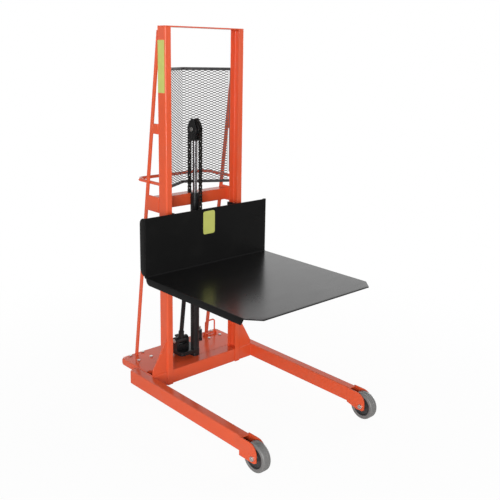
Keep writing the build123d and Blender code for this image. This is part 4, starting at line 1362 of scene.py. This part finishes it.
@dataclass
class Handle(Assembly):
    """Push handle: a round bar bent to a U."""

    radius: float = 0.008
    bend: float = 0.045
    bend_points: int = 15
    sides: int = 24

    def build(self) -> None:
        """Build the bar."""
        low, high = span("push_handle")
        height = (low[2] + high[2]) / 2
        x, rear = high[0] - self.radius, high[1] - self.radius
        corners = [(-x, low[1], height), (-x, rear, height), (x, rear, height), (x, low[1], height)]
        path = route(corners, self.bend, self.bend_points)
        self.painted("handle_bar", tube(path, self.radius, UP, self.sides), "push_handle")


@dataclass
class Chain(Assembly):
    """Roller chain of the lift: waisted plates in pairs, pins and rollers."""

    pitch: float = 0.015875
    depth: float = 0.0072
    waist: float = 0.0054
    plate: float = 0.0013
    play: float = 0.0002
    inner: float = 0.0043
    roller: float = 0.0066
    pin: float = 0.0026
    plate_edge: float = 0.0002
    pin_edge: float = 0.0003
    roller_edge: float = 0.0004
    waist_points: int = 9
    crown_points: int = 7
    sides: int = 14

    def build(self) -> None:
        """Build the two strands and the half turn over the sheave."""
        centre = sum(span("chain_sheave")) / 2
        rear_y = self.strand("lift_chain_rear", "chain_rear", centre[2], "frame")
        self.strand("lift_chain_front", "chain_front", centre[2], "platform")
        self.wrap(centre, rear_y - centre[1])

    def link(self) -> Array:
        """Link plate with two round ends and a waist, whose half depth is a cosine along the pitch.

        Returns:
            Its outline.
        """
        share = np.linspace(0, 1, self.waist_points)
        half = self.waist + (self.depth - self.waist) * (0.5 + 0.5 * np.cos(2 * math.pi * share))
        side = np.stack([half, share * self.pitch], axis=1)
        turn = np.linspace(0, math.pi, self.crown_points)[1:-1]
        crown = self.depth * np.stack([np.cos(turn), np.sin(turn)], axis=1)
        return np.concatenate([side, crown + [0, self.pitch], (side * [-1, 1])[::-1], -crown])

    def links(self, count: int) -> list[Form]:
        """Links narrow and wide in turn, each with a roller and a pin at its lower joint.

        Args:
            count: Number of links.

        Returns:
            One shape for each link, all with the joint at the origin.
        """
        reach = self.inner + 2 * self.plate + 2 * self.play
        pin = bar_profile(-reach, reach, self.pin, self.pin_edge)
        roller = bar_profile(-self.inner, self.inner, self.roller, self.roller_edge)
        rounds = [turned(profile, Way.X, (0, 0, 0), self.sides) for profile in (pin, roller)]
        kinds = []
        for start in (self.inner + self.plate + self.play, self.inner):
            faces = ((start, start + self.plate), (-start - self.plate, -start))
            plates = [prism(self.link(), Way.X, near, far, self.plate_edge) for near, far in faces]
            kinds.append(together(plates + rounds))
        return [kinds[number % 2] for number in range(count)]

    def strand(self, name: str, node: str, high: float, foot: str) -> float:
        """Straight strand of links from its node's lower end up to a height on the ram.

        Args:
            name: Name of the piece.
            node: Frame node it stands for.
            high: Upper end, on the ram.
            foot: Body at the lower end.

        Returns:
            Where the strand hangs along Y.
        """
        bottom, top = span(node)
        low, y = bottom[2], (bottom[1] + top[1]) / 2
        count = round((high - low) / self.pitch)
        pitch = (high - low) / count
        parts = [form.moved((0, y, low + number * pitch)) for number, form in enumerate(self.links(count))]
        piece = Piece(name, self.palette.chain, "ram", node)
        thing = piece.shaped(together(parts))
        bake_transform(thing)
        piece.mark()
        log.info("%s stretches between %s and ram and stands for %s", name, foot, node)
        return y

    def wrap(self, centre: Array, radius: float) -> None:
        """Half turn over the sheave: each link is turned to its chord.

        Args:
            centre: Centre of the sheave.
            radius: Pitch radius.
        """
        count = round(math.pi * radius / self.pitch)
        parts = []
        for number, form in enumerate(self.links(count)):
            angle = math.pi * number / count
            lean = angle + math.pi / (2 * count)
            x, y, z = form.points.T
            across = y * math.cos(lean) - z * math.sin(lean) + radius * math.cos(angle)
            up = y * math.sin(lean) + z * math.cos(lean) + radius * math.sin(angle)
            points = np.stack([x, across, up], axis=1) + centre * [0, 1, 1]
            parts.append(Form(points, form.quads, form.ends))
        Piece("lift_chain_wrap", self.palette.chain, "ram", "chain_wrap").solid(together(parts))


@dataclass
class Ram(Assembly):
    """Barrel and rod of the lift."""

    barrel: float = 0.0225
    ring: float = 0.022
    lip: float = 0.0006
    rod_edge: float = 0.0004
    sides: int = 64

    def build(self) -> None:
        """Build the barrel, with a ring at its top, and the rod."""
        low, high = span("cylinder_barrel")
        axis = (0.0, (low[1] + high[1]) / 2, 0.0)
        foot, top, ring, wide = low[2], high[2], high[2] - self.ring, self.barrel + self.lip
        side = [(foot, self.barrel), (ring, self.barrel), (ring + self.lip, wide), (top - self.lip, wide)]
        profile = [(foot, 0.0), *side, (top, self.barrel), (top, 0.0)]
        barrel = Piece("ram_barrel", self.palette.black, "frame", "cylinder_barrel")
        barrel.solid(turned(profile, Way.Z, axis, self.sides))
        low, high = span("ram_rod")
        profile = bar_profile(low[2], high[2], (high[0] - low[0]) / 2, self.rod_edge)
        rod = Piece("ram_rod_chrome", self.palette.chrome, "ram", "ram_rod")
        rod.solid(turned(profile, Way.Z, axis, self.sides))


@dataclass
class Platform(Assembly):
    """Bent platform sheet: deck, back plate and turned edges."""

    wall: float = 0.0045
    inside: float = 0.005
    edge_bend: float = 0.006
    chamfer_side: float = 0.062
    chamfer_front: float = 0.055
    flange: float = 0.031
    flange_round: float = 0.027
    back_return: float = BACK_RETURN
    back_corner: float = 0.030
    back_heel: float = 0.032
    deck_height: float = DECK_HEIGHT
    bend_points: int = 8
    crop_points: int = 6
    cut_points: int = 7
    deepening_points: int = 5
    deck_points: int = 8
    back_points: int = 6
    corner_points: int = 9

    def build(self) -> None:
        """Build the sheet: the deck's rows, the bend's rows and the back plate's rows one after the other."""
        high = span("platform")[1]
        face = high[1] - self.back_return
        turn = quarter(self.bend_points)
        run, flat, drop = self.deck_rows(face - self.inside)
        rise, back_drop = self.back_rows(high[2])
        bend_y = face - self.inside + self.inside * np.sin(turn)
        bend_z = self.deck_height + self.inside * (1 - np.cos(turn))
        y = np.concatenate([run, bend_y, np.full(len(rise), face)])
        z = np.concatenate([np.full(len(run), self.deck_height), bend_z, rise])
        lean = np.concatenate([np.zeros(len(run)), turn, np.full(len(rise), RIGHT_ANGLE)])
        facing = np.stack([np.zeros(len(lean)), -np.sin(lean), np.cos(lean)], axis=1)
        flats = np.concatenate([flat, np.full(len(turn) + len(rise), high[0] - self.edge_bend)])
        drops = np.concatenate([drop, np.linspace(drop[-1], back_drop[0], len(turn)), back_drop])
        form = bent_sheet(np.stack([np.zeros(len(y)), y, z], axis=1), facing, flats, drops, self.edge_bend)
        Piece("platform_sheet", self.palette.deck, "platform", "platform").sheet(form, self.wall)

    def deck_rows(self, rear: float) -> tuple[Array, Array, Array]:
        """Rows of the deck from the front edge to the bend.

        The front corners are cropped on a straight line, which also cuts the bend of the turned edge: there
        the sine of the bend's angle runs evenly from none to one. The turned edge then deepens to its full
        depth and ends in a quarter circle at the rear.

        Args:
            rear: Where the deck ends.

        Returns:
            Places along the deck, half widths of the flat and depths of the turned edge.
        """
        low, high = span("platform")
        front, flat = low[1], high[0] - self.edge_bend
        full = front + self.chamfer_side
        start = full - self.edge_bend * self.chamfer_side / self.chamfer_front
        run = np.concatenate(
            [
                np.linspace(front, start, self.crop_points)[:-1],
                start + (full - start) * np.linspace(0, 1, self.cut_points),
                full + self.flange / 2 * np.linspace(0, 1, self.deepening_points)[1:],
                np.linspace(full + self.flange, rear - 2 * self.flange_round, self.deck_points),
                rear - self.flange_round * (1 - np.sin(quarter(self.corner_points))),
            ]
        )
        crop = high[0] - self.chamfer_front * (full - run) / self.chamfer_side
        cut = np.clip((crop - flat) / self.edge_bend, 0, 1)
        cut_drop = self.edge_bend * (1 - np.sqrt(1 - cut**2))
        depth = np.interp(run, [full, full + self.flange / 2], [self.edge_bend, self.flange])
        depth = depth - self.round_off(rear - run, self.flange_round)
        return run, np.minimum(flat, crop), np.where(run < full, cut_drop, depth)

    def back_rows(self, top: float) -> tuple[Array, Array]:
        """Rows of the back plate, whose turned edges end in a large round corner below and a small one above.

        Args:
            top: Upper edge of the plate.

        Returns:
            Heights and depths of the turned edge.
        """
        turn = quarter(self.corner_points)
        foot = self.deck_height + self.inside
        rise = np.concatenate(
            [
                foot + self.back_heel * (1 - np.cos(turn)),
                np.linspace(foot + 2 * self.back_heel, top - 2 * self.back_corner, self.back_points),
                top - self.back_corner * (1 - np.sin(turn)),
            ]
        )
        lost = self.round_off(rise - foot, self.back_heel) + self.round_off(top - rise, self.back_corner)
        return rise, self.back_return - lost

    @staticmethod
    def round_off(distance: Array, radius: float) -> Array:
        """Depth that a quarter circle takes off, at distances from the end that it rounds."""
        away = np.clip(1 - distance / radius, 0, 1)
        return radius * (1 - np.sqrt(1 - away**2))


@dataclass(frozen=True)
class WheelSize:
    """Sizes of a wheel: width of its tread, radius of its axle and the rim's share of the wheel's radius."""

    width: float
    axle: float
    rim: float


@dataclass
class Wheels(Assembly):
    """Front wheels and caster wheels: a rounded tyre with a ring groove on a dished hub."""

    front: WheelSize = WheelSize(0.042, 0.006, 0.73)
    caster: WheelSize = WheelSize(0.032, 0.005, 0.63)
    groove: float = 0.0016
    groove_slope: float = 1.6
    lip: float = 0.002
    tyre_rounds: tuple[float, ...] = (0.0005, 0.0008, 0.008, 0.0015, 0.0005)
    tyre_points: int = 6
    bore_gap: float = 0.0001
    boss: float = 2.0
    dish_foot: float = 2.8
    dish_rim: float = 0.88
    flange_rim: float = 0.95
    seat: float = 0.0005
    hub_rounds: tuple[float, ...] = (0.0005, 0.001, 0.003, 0.003, 0.001, 0.0004)
    hub_points: int = 4
    sides: int = 72

    def build(self) -> None:
        """Build all four wheels."""
        for side, _ in SIDES:
            self.wheel(f"front_wheel_{side}", self.front)
            self.wheel(f"caster_wheel_{side}", self.caster)

    def wheel(self, node: str, size: WheelSize) -> None:
        """Build one wheel: tyre and hub are closed sections turned about the axle.

        Args:
            node: Frame node and body of the wheel.
            size: Sizes of the wheel.
        """
        low, high = span(node)
        centre = (low + high) / 2
        radius, hub_half = (high[2] - low[2]) / 2, (high[0] - low[0]) / 2
        tyre = self.tyre_section(size, radius)
        hub = self.hub_section(size, size.rim * radius, hub_half)
        parts = (("tyre", tyre, self.palette.tyre, node), ("hub", hub, self.palette.hub, ""))
        for part, section, finish, stands_for in parts:
            form = turned(section, Way.X, centre, self.sides, ring=True)
            Piece(f"{node}_{part}", finish, node, stands_for).solid(form)

    def tyre_section(self, size: WheelSize, radius: float) -> Array:
        """Closed section of a tyre: round shoulders, a groove round the middle and a step at the rim.

        Args:
            size: Sizes of the wheel.
            radius: Outer radius.

        Returns:
            Points along and from the axle.
        """
        half, rim, deep = size.width / 2, size.rim * radius, self.groove
        side = [
            (deep, radius - deep),
            (self.groove_slope * deep, radius),
            (half, radius),
            (half, rim + 2 * self.lip),
            (half - self.lip, rim),
        ]
        return even_outline(side, self.tyre_rounds, self.tyre_points)

    def hub_section(self, size: WheelSize, rim: float, hub_half: float) -> Array:
        """Closed section of a hub: a boss on the axle, a dish and a flange under the tyre.

        Args:
            size: Sizes of the wheel.
            rim: Radius of the rim.
            hub_half: Half length of the boss.

        Returns:
            Points along and from the axle.
        """
        dish, flange = size.width / 4, size.width / 2 - self.lip
        side = [
            (hub_half, size.axle + self.bore_gap),
            (hub_half, self.boss * size.axle),
            (dish, self.dish_foot * size.axle),
            (dish, rim * self.dish_rim),
            (flange, rim * self.flange_rim),
            (flange, rim + self.seat),
        ]
        return even_outline(side, self.hub_rounds, self.hub_points)


@dataclass
class Fasteners(Assembly):
    """Axle bolts of the front wheels: round bars with washers and hexagon heads at both ends."""

    axle_radius: float = 0.006
    axle_inset: float = 0.001
    axle_edge: float = 0.0008
    axle_head: float = AXLE_HEAD
    head_height: float = 0.007
    head_gap: float = 0.0005
    head_round: float = 0.0016
    head_edge: float = 0.0012
    washer: float = 0.0015
    washer_edge: float = 0.0003
    sides: int = 32

    def build(self) -> None:
        """Build both axles."""
        low, high = span("front_axles")
        y, z = (low[1:] + high[1:]) / 2
        middle = sum(span("leg_right"))[0] / 2
        half = high[0] - middle
        reach = half - self.axle_inset
        bar = bar_profile(-reach, reach, self.axle_radius, self.axle_edge)
        forms = []
        for _, sign in SIDES:
            forms.append(turned(bar, Way.X, (sign * middle, y, z), self.sides))
            for end in (-1.0, 1.0):
                face = sign * middle + end * (half - self.head_height)
                forms += self.head(face, end, y, z)
        Piece("wheel_axles", self.palette.zinc, "frame", "front_axles").solid(together(forms))

    def head(self, face: float, end: float, y: float, z: float) -> list[Form]:
        """Washer and hexagon head on a face that looks along X.

        Args:
            face: Place of the face.
            end: Direction that it looks in, one or minus one.
            y: Place of the axis.
            z: Height of the axis.

        Returns:
            Both shapes.
        """
        corners = np.array((y, z)) + self.axle_head * circle_points(6)
        near, far = sorted((face + end * self.washer, face + end * (self.head_height - self.head_gap)))
        hexagon = prism(outline(corners, self.head_round), Way.X, near, far, self.head_edge)
        start, stop = sorted((0.0, end * self.washer))
        ring = bar_profile(start, stop, self.axle_head, self.washer_edge)
        return [hexagon, turned(ring, Way.X, (face, y, z), self.sides)]


@dataclass
class Plates(Assembly):
    """Blank plates on a column and on the back plate."""

    thickness: float = 0.0005
    edge: float = 0.0001
    column_inset: float = 0.0068
    column_width: float = 0.0513
    column_heights: Band = (1.489, 1.725)
    column_round: float = 0.003
    back_low: Band = (-0.0395, 0.804)
    back_high: Band = (0.0325, 0.9185)
    back_round: float = 0.011
    back_return: float = BACK_RETURN

    def build(self) -> None:
        """Build both plates."""
        column = span("mast_column_left")[0]
        start, (low, high) = column[1] + self.column_inset, self.column_heights
        side = box_outline((start, low), (start + self.column_width, high), self.column_round)
        form = prism(side, Way.X, column[0] - self.thickness, column[0], self.edge)
        Piece("column_plate", self.palette.plate).solid(form)
        face = span("platform")[1][1] - self.back_return
        front = box_outline(self.back_low, self.back_high, self.back_round)
        form = prism(front, Way.Y, face - self.thickness, face, self.edge)
        Piece("back_plate_label", self.palette.plate, "platform").solid(form)


Rows = tuple[tuple[str, str, float], ...]


def both(node: str, body: str, edge: float) -> Rows:
    """Rows of a node that is there left and right, on a body for each side."""
    return tuple((f"{node}_{side}", f"{body}_{side}", edge) for side, _ in SIDES)


@dataclass
class Eased(Assembly):
    """Nodes whose shapes stay, with their edges rounded: each with its body and the radius."""

    painted_rows: Rows = (
        ("base_crossmember", "frame", 0.0008),
        ("brace_ties", "frame", 0.0012),
        ("mid_crossmember", "frame", 0.0015),
        ("pedal_lugs", "frame", 0.0008),
        ("release_pedal", "release_pedal", 0.0),
        ("caster_plates", "frame", 0.0012),
    )
    carriage_rows: Rows = (
        ("carriage_sides", "platform", 0.001),
        ("carriage_bars", "platform", 0.0015),
        ("chain_bar", "platform", 0.0015),
        ("deck_arms", "platform", 0.0008),
    )
    black_rows: Rows = (
        ("cylinder_gland", "frame", 0.0),
        ("pump_body", "frame", 0.0015),
        ("pump_rocker", "pump_lever", 0.0012),
        ("pump_lever", "pump_lever", 0.0),
        ("chain_yoke", "ram", 0.0012),
        ("chain_sheave", "sheave", 0.0006),
        ("chain_anchor_rear", "frame", 0.0008),
        ("release_valve_body", "frame", 0.0008),
    )
    bright_rows: Rows = (
        ("roller_axles", "platform", 0.0006),
        ("rocker_pin", "frame", 0.0006),
        ("pump_plunger", "pump_plunger", 0.0004),
        ("release_stem", "release_stem", 0.0004),
        ("ram_piston", "ram", 0.0006),
        *both("roller_lower", "roller_lower", 0.0006),
        *both("roller_upper", "roller_upper", 0.0006),
    )
    rubbed_rows: Rows = (("sheave_pin", "ram", 0.0008),)
    zinc_rows: Rows = (
        ("guard_bolts", "frame", 0.0006),
        ("caster_bolts", "frame", 0.0008),
        *both("caster_fork", "caster", 0.0008),
        *both("caster_axle", "caster", 0.0006),
    )

    def build(self, frame: dict) -> None:
        """Make every eased copy.

        Args:
            frame: The loaded frame.
        """
        for rows, finish in (
            (self.painted_rows, self.palette.frame),
            (self.carriage_rows, self.palette.deck),
            (self.black_rows, self.palette.black),
            (self.bright_rows, self.palette.bright),
            (self.rubbed_rows, self.palette.rubbed),
            (self.zinc_rows, self.palette.zinc),
        ):
            for node, body, edge in rows:
                Piece(f"{node}_eased", finish, body, node).eased(frame, edge)


# Studio


def facing_matrix(place: Sequence[float], back: Sequence[float], roll: float) -> Matrix:
    """Matrix of a lamp or camera that looks against a direction.

    Args:
        place: Where it stands.
        back: Unit vector from what it looks at.
        roll: Turn about the line of sight.

    Returns:
        The matrix.
    """
    back = np.asarray(back, float)
    right = np.cross(UP, back)
    right = right / np.linalg.norm(right)
    up = np.cross(back, right)
    right, up = right * math.cos(roll) + up * math.sin(roll), up * math.cos(roll) - right * math.sin(roll)
    columns = np.eye(4)
    columns[:3, 0], columns[:3, 1], columns[:3, 2], columns[:3, 3] = right, up, back, place
    return Matrix(columns.tolist())


@dataclass(frozen=True)
class Lamp:
    """A square lamp: its name, place, side length and power."""

    name: str
    place: Triple
    size: float
    power: float


@dataclass
class Studio:
    """Pale floor, soft light and the photograph's camera."""

    position: Triple = (-2.1689, -2.4365, 1.6795)
    azimuth: float = math.radians(-42.28)
    elevation: float = math.radians(12.37)
    roll: float = math.radians(0.94)
    lens: float = 51.9
    sensor: float = 36.0
    shift: Band = (0.0016, -0.0804)
    horizon: float = 0.8
    zenith: float = 0.3
    sky_band: Band = (0.0, 0.6)
    floor_colour: Colour = srgb(244, 244, 243)
    floor_reach: float = 30.0
    floor_glow: float = 0.95
    floor_band: Band = (0.9, 2.4)
    target: Triple = (0.0, 0.0, 0.8)
    lamps: tuple[Lamp, ...] = (
        Lamp("key", (-4.1, -3.7, 1.6), 2.4, 245.0),
        Lamp("side", (5.0, 0.2, 1.5), 2.8, 130.0),
        Lamp("back", (0.6, 5.0, 1.5), 2.8, 70.0),
    )

    def build(self) -> None:
        """Build the studio."""
        bpy.context.scene.view_settings.view_transform = "Standard"
        self.world()
        self.floor()
        self.light()
        self.camera()

    def world(self) -> None:
        """White for the camera and in reflections; the light on the object fades from horizon to zenith."""
        world = bpy.data.worlds.new("studio")
        bpy.context.scene.world = world
        shader = Shader(world)
        kinds = ("Camera", "Glossy", "Transmission")
        rays = [shader.node("LightPath", output=f"Is {kind} Ray") for kind in kinds]
        seen = rays[0].larger(rays[1]).larger(rays[2])
        direction = shader.node("TexCoord", output="Generated")
        height = shader.height(direction).above(*self.sky_band)
        strength = self.horizon + (self.zenith - self.horizon) * height
        soft = shader.node("Background", {"Color": WHITE, "Strength": strength})
        full = shader.node("Background", {"Color": WHITE, "Strength": 1.0})
        surface = shader.node("MixShader", {0: seen, 1: soft, 2: full})
        shader.node("OutputWorld", {"Surface": surface})

    def floor(self) -> None:
        """Pale floor that keeps the shadow near the object and fades to white further out."""
        reach = self.floor_reach
        mesh = bpy.data.meshes.new("floor")
        corners = np.array([(-reach, -reach, 0), (reach, -reach, 0), (reach, reach, 0), (-reach, reach, 0)])
        mesh.from_pydata(corners, [], [(0, 1, 2, 3)])
        shader = Shader(bpy.data.materials.new("floor"))
        spot = shader.node("VectorMath", {0: shader.place()}, "Value", operation="LENGTH")
        seen = shader.node("LightPath", output="Is Camera Ray")
        away = (self.floor_glow + (1 - self.floor_glow) * spot.above(*self.floor_band)) * seen
        matt = shader.node("BsdfDiffuse", {"Color": self.floor_colour})
        glow = shader.node("Emission", {"Color": WHITE, "Strength": 1.0})
        surface = shader.node("MixShader", {0: away, 1: matt, 2: glow})
        mesh.materials.append(shader.close(surface))
        floor = bpy.data.objects.new("floor", mesh)
        bpy.context.scene.collection.objects.link(floor)

    def light(self) -> None:
        """Large square lamps turned to the middle of the object."""
        for lamp in self.lamps:
            data = bpy.data.lights.new(lamp.name, "AREA")
            data.size = lamp.size
            data.energy = lamp.power
            thing = bpy.data.objects.new(lamp.name, data)
            back = np.subtract(lamp.place, self.target)
            thing.matrix_world = facing_matrix(lamp.place, back / np.linalg.norm(back), 0.0)
            bpy.context.scene.collection.objects.link(thing)

    def camera(self) -> None:
        """Camera at the photograph's place."""
        data = bpy.data.cameras.new("camera")
        data.lens = self.lens
        data.sensor_width = self.sensor
        data.shift_x, data.shift_y = self.shift
        back = (
            math.sin(self.azimuth) * math.cos(self.elevation),
            -math.cos(self.azimuth) * math.cos(self.elevation),
            math.sin(self.elevation),
        )
        camera = bpy.data.objects.new("camera", data)
        camera.matrix_world = facing_matrix(self.position, back, self.roll)
        bpy.context.scene.collection.objects.link(camera)
        bpy.context.scene.camera = camera


def main() -> None:
    """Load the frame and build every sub-assembly."""
    logging.basicConfig(level=logging.INFO, format="%(message)s")
    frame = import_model()
    palette = Palette()
    Studio().build()
    for assembly in (Base, Mast, Guard, Handle, Chain, Ram, Platform, Wheels, Fasteners, Plates):
        assembly(palette).build()
    Eased(palette).build(frame)


if __name__ == "__main__":
    main()
